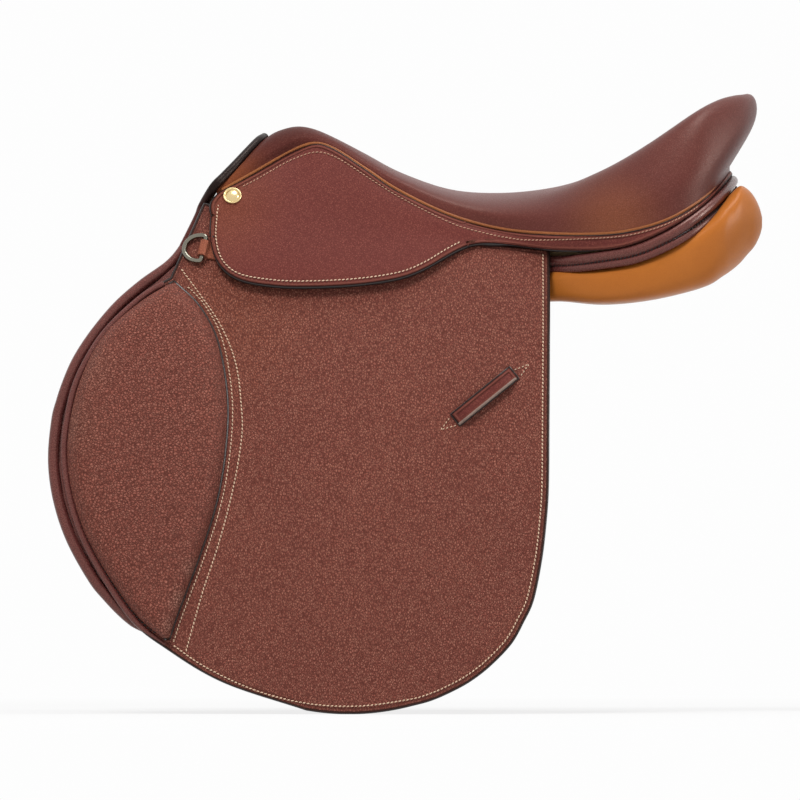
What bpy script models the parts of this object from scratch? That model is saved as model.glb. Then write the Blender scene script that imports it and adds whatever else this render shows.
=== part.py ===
"""Pony saddle, close-contact pattern, in separate pieces.

Frame: +X to the rear (cantle), -X to the front (pommel), left side at -Y, +Z up.
The origin is on the centre plane at the top of the gullet, where the saddle sits
over the pony's back. Lengths below are millimetres until they reach a mesh.
"""

import math

import bmesh
import bpy
from mathutils import Matrix, Vector

MM = 0.001
GAP = 0.3

# Side of the saddle: a bent sheet whose straight lines run along the flap's bend
BEND_HALF_WIDTH = 95.0
BEND_HEIGHT = -26.4
BEND_FALL = 0.0987
FLARE_TO_REAR = 0.10
LOW_SLOPE = 0.15
TOP_SLOPE = 0.30
SLOPE_FADE = 150.0

# Leather and the layers of a side, measured inwards from the flap's outer face
FLAP_THICK = 4.0
SKIRT_THICK = 3.0
STRAP_THICK = 3.0
STRAP_GAP = 1.5
SWEAT_THICK = 3.0
STRAP_FIRST = FLAP_THICK + 1.2
STRAP_PITCH = STRAP_THICK + STRAP_GAP
SWEAT_DEPTH = STRAP_FIRST + 3 * STRAP_PITCH
SWEAT_DEPTH_FRONT = 6.5
SWEAT_STEP_FRONT = -215.0
SWEAT_STEP_LENGTH = 110.0
RAIL_DEPTH = 14.3

# Lines that the flap and the skirt lift about, as drops below the bend height
FLAP_LINE = 4.0
SKIRT_LINE = -47.0
SKIRT_FRONT = -160.0
SKIRT_TILT = 0.42
SKIRT_STAND = 3.6
SKIRT_STAND_MORE = 4.4
SKIRT_STAND_START = -53.0
SKIRT_STAND_SPAN = 48.0

# Seat
COVER_THICK = 2.5
FOAM_DEPTH = 8.0
FOAM_INSET = 2.0
FOAM_INSET_REAR = 1.8
FOAM_INSET_START = 9.0
FOAM_INSET_SPAN = 5.0
PIPING_RADIUS = 1.2
PIPING_GAP = 0.55
PIPING_START = 0.12

# Rolls and piping
BINDING_RADIUS = 3.2
WELT_RADIUS = 2.4
FRONT_ROLL_RADIUS = 3.6
FLAP_EDGE_RADIUS = 1.8
FACING_RADIUS = 2.4
FACING_LEAN = (-0.74, 0.0, 0.67)
FACING_FOOT = (-167.0, 39.5)
FACING_DEPTH = 9.5

# Foam's underside on the centre plane: its depth at the head, its drop at the cantle
FOAM_HEAD_DEPTH = 9.0
FOAM_CANTLE_DROP = 16.0

# Tree: the head's ribs of the seat and its marks from the seam to the centre plane
HEAD_RIBS = [0.35, 0.8, 1.3]
HEAD_MARKS = [0.35, 0.5, 0.75, 1]
HEAD_LEG_RISES = (0, 17, 34, 51)
HEAD_ARCH_LEAN = 0.6
CANTLE_MARKS = (0.12, 0.25, 0.38)
CANTLE_INWARDS = 0.12
BOARD_THICK = 9.0
RAIL_THICK = 9.0
POINT_THICK = 7.0
PLATE_THICK = 1.8
WEB_THICK = 2.0
RAIL_TOP = -44.0
RAIL_FOOT = -32.0
RAIL_FRONT = -130.6
RAIL_REAR = 69.0
POINT_FOOT = 2.6
POCKET_THICK = 1.5
POCKET_RISE = 18.0
SPRING_THICK = 1.2
LINING_THICK = 2.0
LINING_REACH = 34.0
LINING_FRONT = -100.0
LINING_REAR = 206.0
HEAD_FRONT = -151.0
HEAD_LENGTH = 20.0

# Girth straps
STRAP_WIDTH = 25.0
STRAP_LENGTH = 225.0
STRAP_TOP = -10.0
STRAP_PIVOT = 8.0
STRAP_POINT = 0.45
STRAP_LAST_HOLE = 22.0
STRAP_NAMES = ("front", "middle", "rear")
STRAP_PLACES = (-34.0, 1.0, 36.0)
STRAP_DEPTHS = (STRAP_FIRST, STRAP_FIRST + STRAP_PITCH, STRAP_FIRST + 2 * STRAP_PITCH)
# each web's tail lies against its own strap: inside the first, outside the other two
WEB_TAIL_GAP = 0.5
WEB_TAIL_TOP = 4.0
WEB_TAIL_DEPTHS = (STRAP_DEPTHS[0] + STRAP_THICK + WEB_TAIL_GAP,
                   STRAP_DEPTHS[1] - STRAP_THICK - WEB_TAIL_GAP,
                   STRAP_DEPTHS[2] - STRAP_THICK - WEB_TAIL_GAP)
STRAP_HOLE_RADIUS = 1.7
STRAP_HOLE_PITCH = 25.0
STRAP_HOLES = 5
GIRTH_WEB_WIDTH = 28.0
GIRTH_WEB_MARKS = (0.36, 0.65, 1)
STRAINER_RIBS = (2.2, 12.2)
STRAINER_MARKS = [0.75, 1]

# Stirrup bar
BAR_LENGTH = 72.0
BAR_WEB_GAP = 2.0
BAR_HEIGHT = 9.0
BAR_LINE = -34.0
BAR_PLATE_THICK = 2.6
BAR_SLOT = 7.1
BAR_ROD_THICK = 4.0
BAR_NECK = 8.0
CATCH_LENGTH = 18.0
CATCH_THICK = 2.2
CATCH_WIDTH = 7.0
CATCH_CLEARANCE = 0.7
CATCH_PIVOT = BAR_LENGTH + 12.0
# the bar ends just before the first web, so its front follows from its length
BAR_REAR = STRAP_PLACES[0] - GIRTH_WEB_WIDTH / 2 - BAR_WEB_GAP
BAR_FRONT = BAR_REAR - CATCH_LENGTH - BAR_LENGTH
PIN_RADIUS = 1.6
PIN_HEAD_RADIUS = 3.0
PIN_HEAD_THICK = 1.2

# Front D-ring and its tab: the ring's straight side, in x and height, leans forward going down
RING_PLACE = (-165.5, 10.0)
RING_LEAN = (-0.22, -0.97)
RING_STAND = 3.8
RING_TILT = 8.0
RING_WIRE_RADIUS = 1.6
RING_REACH = 9.0
# half of the ring's outline: along the straight side and forward of it
RING_HALF = [(0, 0), (5, 0), (8.6, 0), (10.2, 1.4), (10.4, 4.5), (9.2, 8.6), (6.4, 12),
             (2.6, 14.1)]
TAB_THICK = 1.5
TAB_WIDTH = 12.0
TAB_TAIL = 10.0
# back of the tab's loop, where it leaves the wire and comes down to the skirt's underside
TAB_SHOULDER = [(-2.4, 2.6), (-3.6, -0.1), (-4.6, -1.15)]

# Saddle nail
NAIL_PLACE = (-144.5, 48.0)
NAIL_PROFILE = [(6.5, 0.0), (6.5, 0.6), (5.2, 1.7), (2.8, 2.4), (0.8, 2.6)]
NAIL_STAND = 0.75

# Knee pad and keeper
PAD_HEIGHT = 13.0
PAD_EDGE = 2.5
KEEPER_PLACE = (40.0, -98.0)
KEEPER_LENGTH = 57.0
KEEPER_WIDTH = 11.5
KEEPER_TILT = 39.0
KEEPER_THICK = 2.0
KEEPER_RISE = 3.0

# Seam between seat and skirt on a side: x and height
SEAM_SIDE = [(-156, 53), (-130, 67.5), (-102, 83.4), (-85, 89), (-69, 84.7), (-45, 69.5),
             (-22, 54.4), (15, 36.7), (52, 26.4)]
SEAM_STAND = 4.0
# and round the cantle: x, half-width and height
SEAM_REAR = [(90, 91, 22.7), (127, 107, 22.6), (150, 112.5, 25.8), (172, 111, 32.5),
             (190, 102.5, 42), (205, 86, 53), (213.5, 62, 62), (218.5, 30, 68.5), (220, 0, 70.5)]

# Seat ribs, from just above the seam to the centre line: x, half-width and height
RIBS = [
    [(-147, 44, 63), (-136, 31, 75), (-126, 16, 86.5), (-120.5, 0, 91)],
    [(-127, 40, 76), (-122, 30, 86), (-115, 15.5, 94), (-112, 0, 96.3)],
    [(-101, 32, 90), (-100, 23, 95.5), (-99, 12, 99), (-98, 0, 100)],
    [(-85, 25.5, 92.8), (-85, 18.5, 95.8), (-85, 10, 97.6), (-85, 0, 98.3)],
    [(-69, 28.5, 88.2), (-69, 20.5, 90.2), (-69, 11, 91.1), (-69, 0, 91.3)],
    [(-45, 40, 73.7), (-45, 29, 76.8), (-45, 15, 78.3), (-45, 0, 78.8)],
    [(-22, 51, 60.5), (-22, 37, 64.2), (-22, 18, 66), (-22, 0, 66.5)],
    [(15, 63, 45), (15, 46, 50.5), (15, 23, 53), (15, 0, 53.8)],
    [(52, 73, 36.5), (52, 55, 45), (52, 28, 50), (52, 0, 51.2)],
    [(90, 86, 37), (90, 66, 50), (90, 36, 54.6), (88, 0, 54.5)],
    [(127, 103, 42), (127, 80, 66.5), (124, 48, 65), (118, 0, 61)],
    [(151, 108, 48), (151, 82, 80), (144, 48, 74), (135, 0, 67)],
    [(175, 105, 58), (175, 78, 95), (163, 45, 82), (149, 0, 73)],
    [(196, 94, 72), (196, 68, 108.5), (178, 38, 90), (159, 0, 78)],
    [(214, 74, 86), (212, 49, 117), (188, 26, 96), (166, 0, 81.5)],
    [(228, 50, 97), (223, 31, 121), (194, 15, 99), (169, 0, 83)],
    [(235.5, 24, 103), (229.5, 14, 122.3), (196, 7, 100.5), (170.5, 0, 83.8)],
    [(237.5, 0, 106), (231, 0, 122.6), (197, 0, 101), (171, 0, 84)],
]

# Lower edge of the skirt's lifting part: x and height, front to rear
SKIRT_EDGE = [(-160, 34), (-160.5, 16), (-155, -1), (-141, -12.4), (-116, -17.2), (-90, -18.2),
              (-53, -16.4), (-22, -11.7), (-3, -4.4), (15, 6), (27, 12.2)]
# Lower edge of the strip that runs on round the cantle
STRIP_EDGE_SIDE = [(27.6, 12.6), (52, 13.4)]
STRIP_EDGE_REAR = [(90, 91.5, 8.8), (127, 109, 8.8), (150, 116, 13.5), (172, 115, 23),
                   (190, 106.5, 34), (205, 89.5, 46), (214.5, 65, 56), (220.5, 31, 63),
                   (222, 0.2, 65)]
# Centre lines of the two rolls under the strip, from behind the flap to the cantle's middle
BINDING_PATH = [(72, 68, 3.5), (90, 78, 0.9), (109, 95, 1.8), (127, 105, 4.2), (150, 113, 8.5),
                (172, 112.5, 18.0), (190, 104.5, 29.3), (205, 88, 41.1), (215, 64, 50.9),
                (220.5, 31, 57.7), (222, 0, 59.9)]
WELT_PATH = [(72, 68, -2.6), (90, 78, -5.2), (109, 95, -4.3), (127, 105.5, -2.2),
             (150, 113.5, 1.7), (172, 113.5, 10.4), (190, 105.5, 20.7), (205, 89, 32.3),
             (215.5, 65, 42.4), (221.5, 31, 49.4), (223, 0, 51.6)]

# Flap below its line: front edge, then rear edge, both from the line to the bottom
FLAP_FRONT = [(-211, -24), (-240.5, -50.5), (-258, -84), (-266, -115), (-268, -145),
              (-261.5, -181), (-247, -216), (-218, -260), (-191, -282), (-150, -307.5),
              (-90, -326)]
FLAP_FRONT_TOP = -189.0
FLAP_REAR = [(87, -120), (86, -165), (84.3, -192), (80.8, -217), (74.8, -245.5),
             (67.2, -261.8), (58.2, -277), (43.8, -293.8), (29, -305.8), (14.3, -313.8),
             (-0.3, -319.8), (-15, -323.2)]
FLAP_REAR_X = 87.0
FLAP_SAG = 4.0
# Fixed upper part of the flap, with its recess for the stirrup bar
FLAP_HEAD = -50.0
FLAP_HEAD_REAR = -44.0
FLAP_HEAD_FRONT = -163.0
FLAP_RECESS = -21.0
RECESS_MARGIN = 8.0
RECESS_SLOPE = 14.0
FLAP_HEAD_LENGTH = 55.0

# Knee pad: the right edge bulges back over the flap
PAD_RIGHT = [(-187, -14), (-168.6, -32), (-155, -58), (-148, -98), (-149, -135), (-155.6, -175),
             (-168.6, -216), (-184, -257), (-190, -275)]
PAD_LEFT = [(-191, -16), (-213, -30), (-238, -53), (-254.5, -84), (-262.5, -115), (-264.5, -145),
            (-258, -180), (-243.5, -214), (-216, -255), (-194, -275)]

# Sweat flap: places along its front roll, each with the place opposite on its other edge
SWEAT_LINES = [((-168, 34), (-161, 30)), ((-181, 10), (-157, 0)), ((-200.5, -9.6), (-152, -28)),
               ((-222.5, -27.3), (-122, -44)), ((-240, -46.5), (-50, -55)),
               ((-256.5, -70.5), (70, -61)), ((-268.6, -99.8), (70.5, -100)),
               ((-275, -138), (70, -150)), ((-271.6, -172), (66, -205)),
               ((-259, -208), (48, -255)), ((-237, -241.6), (5, -290)),
               ((-204, -271), (-90, -306))]
SWEAT_EDGE_GAP = 4.3

# Panel cushions: x, inner edge (half-width, height), outer edge height and half-thickness
PANEL = [(-168, 20, 10, -44, 5.0), (-155, 17, 16, -45, 8.0), (-130, 17, 14, -45, 9.0),
         (-95, 22, 8, -44, 9.5), (-50, 27, 0, -41, 10.0), (0, 30, -6, -36, 10.5),
         (50, 31, -10, -33, 10.5)]
# and behind the flap, with the outer edge's half-width too
PANEL_REAR = [(88, 31, -11, 83, -18, 10.4), (127, 31, -12.5, 105, -18.5, 13.0),
              (164, 31, -7.5, 112, -11.5, 16.0), (200, 31, 8, 103, 5, 19.8),
              (214, 31, 20.2, 94, 13.2, 21.1), (222, 31.5, 26, 90, 18, 21.3),
              (225.5, 33, 34, 86, 24, 25.5), (234, 36, 30, 81, 29, 18.0),
              (239.5, 44, 29, 73, 27, 9.5), (241.6, 54, 29, 63, 28, 3.0)]
PANEL_ROUND = 2.6
PANEL_INSET = 0.5
PANEL_STEPS = 32


def clear_scene():
    for thing in list(bpy.data.objects):
        bpy.data.objects.remove(thing, do_unlink=True)


def material(name, color, roughness, metallic=0.0):
    made = bpy.data.materials.new(name)
    made.use_nodes = True
    shader = made.node_tree.nodes["Principled BSDF"]
    shader.inputs["Base Color"].default_value = (*color, 1.0)
    shader.inputs["Roughness"].default_value = roughness
    shader.inputs["Metallic"].default_value = metallic
    return made


LEATHER = (0.198, 0.060, 0.040)
SEAT_LEATHER = (0.150, 0.048, 0.036)
PLUM = (0.062, 0.020, 0.019)
TAN = (0.445, 0.140, 0.024)
WEBBING = (0.50, 0.44, 0.33)
STEEL = (0.46, 0.45, 0.43)
WOOD = (0.52, 0.33, 0.17)
FOAM = (0.72, 0.66, 0.50)
BRASS = (0.78, 0.58, 0.22)


def smooth_path(points, count):
    """Catmull-Rom curve through points, read at count places an equal way apart."""
    knots = [Vector(p) for p in points]
    ends = [2 * knots[0] - knots[1], *knots, 2 * knots[-1] - knots[-2]]
    fine = []
    steps = 12
    for i in range(1, len(ends) - 2):
        for k in range(steps):
            fine.append(catmull(ends[i - 1:i + 3], k / steps))
    fine.append(knots[-1])
    return even_path(fine, count)


def catmull(four, t):
    a, b, c, d = four
    return 0.5 * (2 * b + (c - a) * t + (2 * a - 5 * b + 4 * c - d) * t ** 2
                  + (3 * b - a - 3 * c + d) * t ** 3)


def even_path(fine, count):
    travelled = [0.0]
    for one, other in zip(fine, fine[1:]):
        travelled.append(travelled[-1] + (other - one).length)
    out = []
    k = 0
    for i in range(count):
        want = travelled[-1] * i / (count - 1)
        while k < len(fine) - 2 and travelled[k + 1] < want:
            k += 1
        span = travelled[k + 1] - travelled[k]
        out.append(fine[k].lerp(fine[k + 1], (want - travelled[k]) / span))
    return out


def ease(t):
    t = min(1.0, max(0.0, t))
    return t * t * (3 - 2 * t)


def drop(x, z):
    """How far a place on the side lies below the flap's bend."""
    return BEND_HEIGHT - BEND_FALL * x - z


def height(x, d):
    return BEND_HEIGHT - BEND_FALL * x - d


def side_slope(d):
    return LOW_SLOPE + TOP_SLOPE * math.exp(-d / SLOPE_FADE)


def half_width(x, z):
    d = drop(x, z)
    swell = LOW_SLOPE * d + TOP_SLOPE * SLOPE_FADE * (1 - math.exp(-d / SLOPE_FADE))
    return BEND_HALF_WIDTH + FLARE_TO_REAR * x + swell


def stretch(d):
    """Sideways distance that one millimetre square to the side's surface takes."""
    slope = side_slope(d)
    return math.sqrt(1 + slope ** 2 + (FLARE_TO_REAR - BEND_FALL * slope) ** 2)


def on_side(x, z, out, side):
    """Point of the side's surface at x and z, out millimetres outwards of the flap's face."""
    return Vector((x, side * (half_width(x, z) + out * stretch(drop(x, z))), z))


def side_normal(x, z, side):
    slope = side_slope(drop(x, z))
    return Vector((-(FLARE_TO_REAR - BEND_FALL * slope), side, slope)).normalized()


def mesh_object(name, verts, faces, mat, smooth=True):
    mesh = bpy.data.meshes.new(name)
    mesh.from_pydata([Vector(v) * MM for v in verts], [], faces)
    work = bmesh.new()
    work.from_mesh(mesh)
    bmesh.ops.remove_doubles(work, verts=work.verts, dist=0.00001)
    bmesh.ops.recalc_face_normals(work, faces=work.faces)
    work.to_mesh(mesh)
    work.free()
    mesh.materials.append(mat)
    made = bpy.data.objects.new(name, mesh)
    bpy.context.scene.collection.objects.link(made)
    if smooth:
        mesh.shade_smooth()
        mesh.set_sharp_from_angle(angle=math.radians(40))
    return made


def set_origin(thing, place):
    """Put the object's origin at place and leave its mesh where it is."""
    shift = place * MM
    thing.data.transform(Matrix.Translation(-shift))
    thing.location = shift


def carry(thing, carrier):
    thing.parent = carrier
    thing.matrix_parent_inverse = Matrix.Translation(-carrier.location)


def grid_faces(rows, columns, start=0):
    faces = []
    for i in range(rows - 1):
        for j in range(columns - 1):
            a = start + i * columns + j
            faces.append((a, a + 1, a + 1 + columns, a + columns))
    return faces


def slab(name, outer, inner, mat):
    """Closed sheet between two grids of points of the same shape."""
    rows = len(outer)
    columns = len(outer[0])
    verts = [p for row in outer for p in row] + [p for row in inner for p in row]
    base = rows * columns
    faces = grid_faces(rows, columns) + grid_faces(rows, columns, base)
    loop = [j for j in range(columns)]
    loop += [i * columns + columns - 1 for i in range(1, rows)]
    loop += [(rows - 1) * columns + j for j in range(columns - 2, -1, -1)]
    loop += [i * columns for i in range(rows - 2, 0, -1)]
    for a, b in zip(loop, loop[1:] + loop[:1]):
        faces.append((b, a, a + base, b + base))
    return mesh_object(name, verts, faces, mat)


def side_sheet(name, grid, out_top, thick, side, mat):
    """Leather on the side: grid holds x and height, out_top the stand of its outer face."""
    outer = [[on_side(x, z, out_top(x, z), side) for x, z in row] for row in grid]
    inner = [[on_side(x, z, out_top(x, z) - thick, side) for x, z in row] for row in grid]
    return slab(name, outer, inner, mat)


def ruled(front, rear, columns):
    """Grid of places between two paths, row by row."""
    grid = []
    for a, b in zip(front, rear):
        row = []
        for j in range(columns):
            t = j / (columns - 1)
            row.append((a[0] + (b[0] - a[0]) * t, a[1] + (b[1] - a[1]) * t))
        grid.append(row)
    return grid


def tube(name, path, radius, mat, sides=8, closed=False, up=None):
    """Round roll along a path, its ends closed, or a closed loop."""
    count = len(path)
    verts = []
    rise = Vector(up) if up else None
    for i in range(count):
        before = path[i - 1] if (closed or i > 0) else path[0]
        after = path[(i + 1) % count] if (closed or i < count - 1) else path[-1]
        along = (after - before).normalized()
        if rise is None:
            rise = along.orthogonal().normalized()
        rise = (rise - rise.dot(along) * along).normalized()
        across = along.cross(rise)
        for k in range(sides):
            turn = 2 * math.pi * k / sides
            verts.append(path[i] + radius * (math.cos(turn) * rise + math.sin(turn) * across))
    faces = []
    for i in range(count if closed else count - 1):
        here = i * sides
        there = ((i + 1) % count) * sides
        for k in range(sides):
            n = (k + 1) % sides
            faces.append((here + k, here + n, there + n, there + k))
    if not closed:
        faces.append(tuple(range(sides - 1, -1, -1)))
        faces.append(tuple(range((count - 1) * sides, count * sides)))
    return mesh_object(name, verts, faces, mat)


def mirrored(path):
    """Path from the left end over the centre plane to the right end."""
    left = [Vector((p[0], -p[1], p[2])) for p in path]
    right = [Vector(p) for p in reversed(path[:-1])]
    return left + right


def seam_point_list():
    side = [on_side(x, z, SEAM_STAND, 1) for x, z in SEAM_SIDE]
    return side + [Vector(p) for p in SEAM_REAR]


def rib_points(u):
    """Control points of the seat's rib at u, from the seam to the centre line."""
    seam = seam_point_list()
    stations = [[seam[i]] + [Vector(p) for p in RIBS[i]] for i in range(len(RIBS))]
    last = len(stations) - 1
    i = min(int(u), last - 1)
    t = u - i
    before = stations[max(i - 1, 0)]
    after = stations[min(i + 2, last)]
    if i + 2 > last:
        after = [Vector((p[0], -p[1], p[2])) for p in stations[last - 1]]
    if i == 0:
        before = [2 * p - q for p, q in zip(stations[0], stations[1])]
    return [catmull((before[k], stations[i][k], stations[i + 1][k], after[k]), t)
            for k in range(len(stations[0]))]


def seat_point(u, v):
    """Outer surface of the seat: v runs from the seam to the centre line."""
    points = rib_points(u)
    beyond = Vector((points[-2][0], -points[-2][1], points[-2][2]))
    chain = [2 * points[0] - points[1], *points, beyond]
    spans = len(points) - 1
    k = min(int(v * spans), spans - 1)
    return catmull(chain[k:k + 4], v * spans - k)


def under_seat(u, v):
    """Underside of the foam, where the webs and the tree lie."""
    points = rib_points(u)
    low = points[0] - Vector((0, 0, FOAM_DEPTH))
    middle_height = under_middle(u, low[2], points[-1][2])
    middle = Vector((points[-1][0], 0, middle_height))
    return low.lerp(middle, v)


def under_middle(u, edge, top):
    """Height of the foam's underside on the centre plane."""
    front = 1 - ease((u - 1) / 4)
    rear = ease((u - 10) / 7)
    dish = max(0.0, top - FOAM_HEAD_DEPTH - edge)
    return edge + front * dish - rear * FOAM_CANTLE_DROP


SEAT_U = 17.0
SEAT_FRONT_ROWS = 11
SEAT_REAR_ROWS = 14
SKIRT_SPLIT = 27.3


def skirt_split_rib():
    return rib_at(SKIRT_SPLIT)


def front_rows():
    return seat_rows(0, skirt_split_rib(), SEAT_FRONT_ROWS)


def rear_rows():
    return seat_rows(skirt_split_rib(), SEAT_U, SEAT_REAR_ROWS)


def seat_rows(first, last, count):
    return [first + (last - first) * i / (count - 1) for i in range(count)]


def both_sides(function, rows, columns):
    """Rows of points from the left v = 0 over the centre to the right v = 0."""
    grid = []
    for u in rows:
        left = [function(u, v) for v in columns]
        row = [Vector((p[0], -p[1], p[2])) for p in left]
        row += [p.copy() for p in reversed(left)]
        grid.append(row)
    return grid


def seat_square(u, v):
    """Direction square to the seat's surface, kept in the centre plane where the halves meet."""
    u_in = min(max(u, 0.02), SEAT_U - 0.12)
    v_in = min(max(v, 0.02), 0.96)
    step = 0.02
    along_u = seat_point(u_in + step, v_in) - seat_point(u_in - step, v_in)
    along_v = seat_point(u_in, v_in + step) - seat_point(u_in, v_in - step)
    square = along_v.cross(along_u)
    if v == 1.0 or u == SEAT_U:
        square[1] = 0.0
    return square.normalized()


def offset_grid(rows, columns, depth):
    """The seat's surface moved depth inwards, square to itself."""
    grid = []
    for u in rows:
        grid.append([seat_point(u, v) - depth * seat_square(u, v) for v in columns])
    return grid


def joined_halves(name, top, bottom, mat):
    """Closed solid between two half grids and their mirror images."""
    rows = len(top)
    columns = len(top[0])
    size = rows * columns
    verts = []
    faces = []
    for sign in (-1, 1):
        base = len(verts)
        for grid in (top, bottom):
            faces += grid_faces(rows, columns, len(verts))
            verts += [Vector((p[0], sign * p[1], p[2])) for row in grid for p in row]
        seam = [i * columns for i in range(rows)]
        front = list(range(columns))
        for edge in (seam, front):
            for k, n in zip(edge, edge[1:]):
                faces.append((base + k, base + n, base + n + size, base + k + size))
    return mesh_object(name, verts, faces, mat)


def make_seat(mats):
    rows = front_rows() + rear_rows()[1:]
    columns = [j / 7 for j in range(8)]
    outer = offset_grid(rows, columns, 0)
    inner = offset_grid(rows, columns, COVER_THICK)
    joined_halves("seat_cover", outer, inner, mats["seat"])
    top = offset_grid(rows, columns, COVER_THICK + GAP)
    bottom = []
    for i, u in enumerate(rows):
        shift = top[i][0] - seat_point(u, 0)
        more = FOAM_INSET_REAR * ease((u - FOAM_INSET_START) / FOAM_INSET_SPAN)
        inset = Vector((shift[0], shift[1], 0)) * (FOAM_INSET + more)
        row = [under_seat(u, v) + inset * (1 - v) for v in columns]
        bottom.append(row)
    joined_halves("seat_foam", top, bottom, mats["foam"])


def seam_frame(u):
    """Place on the seam, the way on from the seat's edge, and the way out of the seat."""
    here = seat_point(u, 0)
    square = seat_square(u, 0)
    u_in = min(max(u, 0.02), SEAT_U - 0.02)
    along = seat_point(u_in + 0.02, 0) - seat_point(u_in - 0.02, 0)
    onward = square.cross(along)
    if onward.dot(here - seat_point(u, 0.03)) < 0:
        onward = -onward
    if u == SEAT_U:
        onward[1] = 0.0
    return here, onward.normalized(), square


def skirt_stand(x, z):
    """Stand of the skirt's outer face: close at the seam, off the flap at the lower edge."""
    d = drop(x, z)
    return SKIRT_STAND + SKIRT_STAND_MORE * ease((d - SKIRT_STAND_START) / SKIRT_STAND_SPAN)


def make_skirts(side, suffix, mats):
    """Upper part with its strip round the cantle, and the part that lifts."""
    high = [under_piping(u) for u in front_rows() + rear_rows()]
    low = []
    low_inner = []
    for k in range(SEAT_FRONT_ROWS):
        x = SKIRT_FRONT + (SKIRT_SPLIT - SKIRT_FRONT) * k / (SEAT_FRONT_ROWS - 1)
        z = height(x, SKIRT_LINE - GAP / 2)
        low.append(on_side(x, z, skirt_stand(x, z), 1))
        low_inner.append(on_side(x, z, skirt_stand(x, z) - SKIRT_THICK, 1))
    strip = [on_side(x, z, skirt_stand(x, z), 1) for x, z in STRIP_EDGE_SIDE]
    low_inner += [on_side(x, z, skirt_stand(x, z) - SKIRT_THICK, 1)
                  for x, z in STRIP_EDGE_SIDE[:1]]
    strip += [Vector(p) for p in STRIP_EDGE_REAR]
    low += smooth_path(strip, SEAT_REAR_ROWS)
    outer = [[a.lerp(b, t) for t in (0, 0.5, 1)] for a, b in zip(high, low)]
    inner = strip_inside(outer)
    for k, p in enumerate(low_inner):
        inner[k][-1] = p
    outer = [[settle(p, side) for p in row] for row in outer]
    inner = [[settle(p, side) for p in row] for row in inner]
    slab(f"skirt_top_{suffix}", outer, inner, mats["leather"])
    edge = flat_path(SKIRT_EDGE, 15)
    grid = []
    for k, (low_x, low_z) in enumerate(edge):
        x = SKIRT_FRONT + (SKIRT_SPLIT - GAP - SKIRT_FRONT) * k / (len(edge) - 1)
        z = height(x, SKIRT_LINE + GAP / 2)
        grid.append([(x + (low_x - x) * t, z + (low_z - z) * t) for t in (0, 0.33, 0.67, 1)])
    skirt = side_sheet(f"skirt_{suffix}", grid, skirt_stand, SKIRT_THICK, side, mats["leather"])
    middle_x = (SKIRT_FRONT + SKIRT_SPLIT) / 2
    middle_z = height(middle_x, SKIRT_LINE)
    set_origin(skirt, on_side(middle_x, middle_z, skirt_stand(middle_x, middle_z), side))
    return outer


def under_piping(u):
    """Upper edge of the skirt, just past the piping."""
    here, onward, square = seam_frame(u)
    place = here + onward * (2 * PIPING_RADIUS + 2 * PIPING_GAP)
    if u == SEAT_U:
        place[1] = GAP / 2
    return place


def settle(p, side):
    return Vector((p[0], side * p[1], p[2]))


def strip_inside(outer):
    """Grid moved inwards by the leather's thickness, each row as a whole."""
    last = len(outer) - 1
    inner = []
    for i, row in enumerate(outer):
        if i != SEAT_FRONT_ROWS:
            along = outer[min(i + 1, last)][1] - outer[max(i - 1, 0)][1]
            square = Vector((-along[1], along[0], 0)).normalized() + Vector((0, 0, SKIRT_TILT))
            square.normalize()
        if i == last:
            square[1] = 0.0
        inner.append([p - square * SKIRT_THICK for p in row])
    return inner


def make_piping(mats):
    path = []
    for u in [PIPING_START] + (front_rows() + rear_rows()[1:])[1:]:
        here, onward, square = seam_frame(u)
        path.append(here + onward * (PIPING_RADIUS + PIPING_GAP) - square * PIPING_RADIUS * 0.6)
    path[-1][1] = 0.0
    tube("seat_piping", mirrored(path), PIPING_RADIUS, mats["tan"], sides=6, up=(0, 0, 1))


def make_rolls(mats):
    path = smooth_path(BINDING_PATH, 26)
    tube("cantle_binding", mirrored(path), BINDING_RADIUS, mats["plum"], sides=8, up=(0, 0, 1))
    path = smooth_path(WELT_PATH, 26)
    tube("panel_welt", mirrored(path), WELT_RADIUS, mats["plum"], sides=8, up=(0, 0, 1))


def flap_outline():
    """Front and rear edges of the lifting flap, from its line to the bottom."""
    line = FLAP_LINE + GAP / 2
    front = [(FLAP_FRONT_TOP, height(FLAP_FRONT_TOP, line))] + FLAP_FRONT
    rear = [(FLAP_REAR_X, height(FLAP_REAR_X, line))] + FLAP_REAR
    return front, rear


def flat_path(points, count):
    return [(p[0], p[1]) for p in smooth_path([(x, z, 0) for x, z in points], count)]


def make_flaps(side, suffix, mats):
    front, rear = flap_outline()
    rows = 15
    columns = 8
    grid = ruled(flat_path(front, rows), flat_path(rear, rows), columns)
    for i, row in enumerate(grid):
        sag = FLAP_SAG * (i / (rows - 1)) ** 6
        for j, (x, z) in enumerate(row):
            t = j / (columns - 1)
            row[j] = (x, z - sag * 4 * t * (1 - t))
    flap = side_sheet(f"flap_{suffix}", grid, lambda x, z: 0.0, FLAP_THICK, side,
                      mats["leather"])
    middle_x = (FLAP_FRONT_TOP + FLAP_REAR_X) / 2
    set_origin(flap, on_side(middle_x, height(middle_x, FLAP_LINE), 0, side))
    for rider in (make_flap_edge(side, suffix, mats), make_pad(side, suffix, mats),
                  make_keeper(side, suffix, mats)):
        carry(rider, flap)
    make_flap_top(side, suffix, mats)


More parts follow.
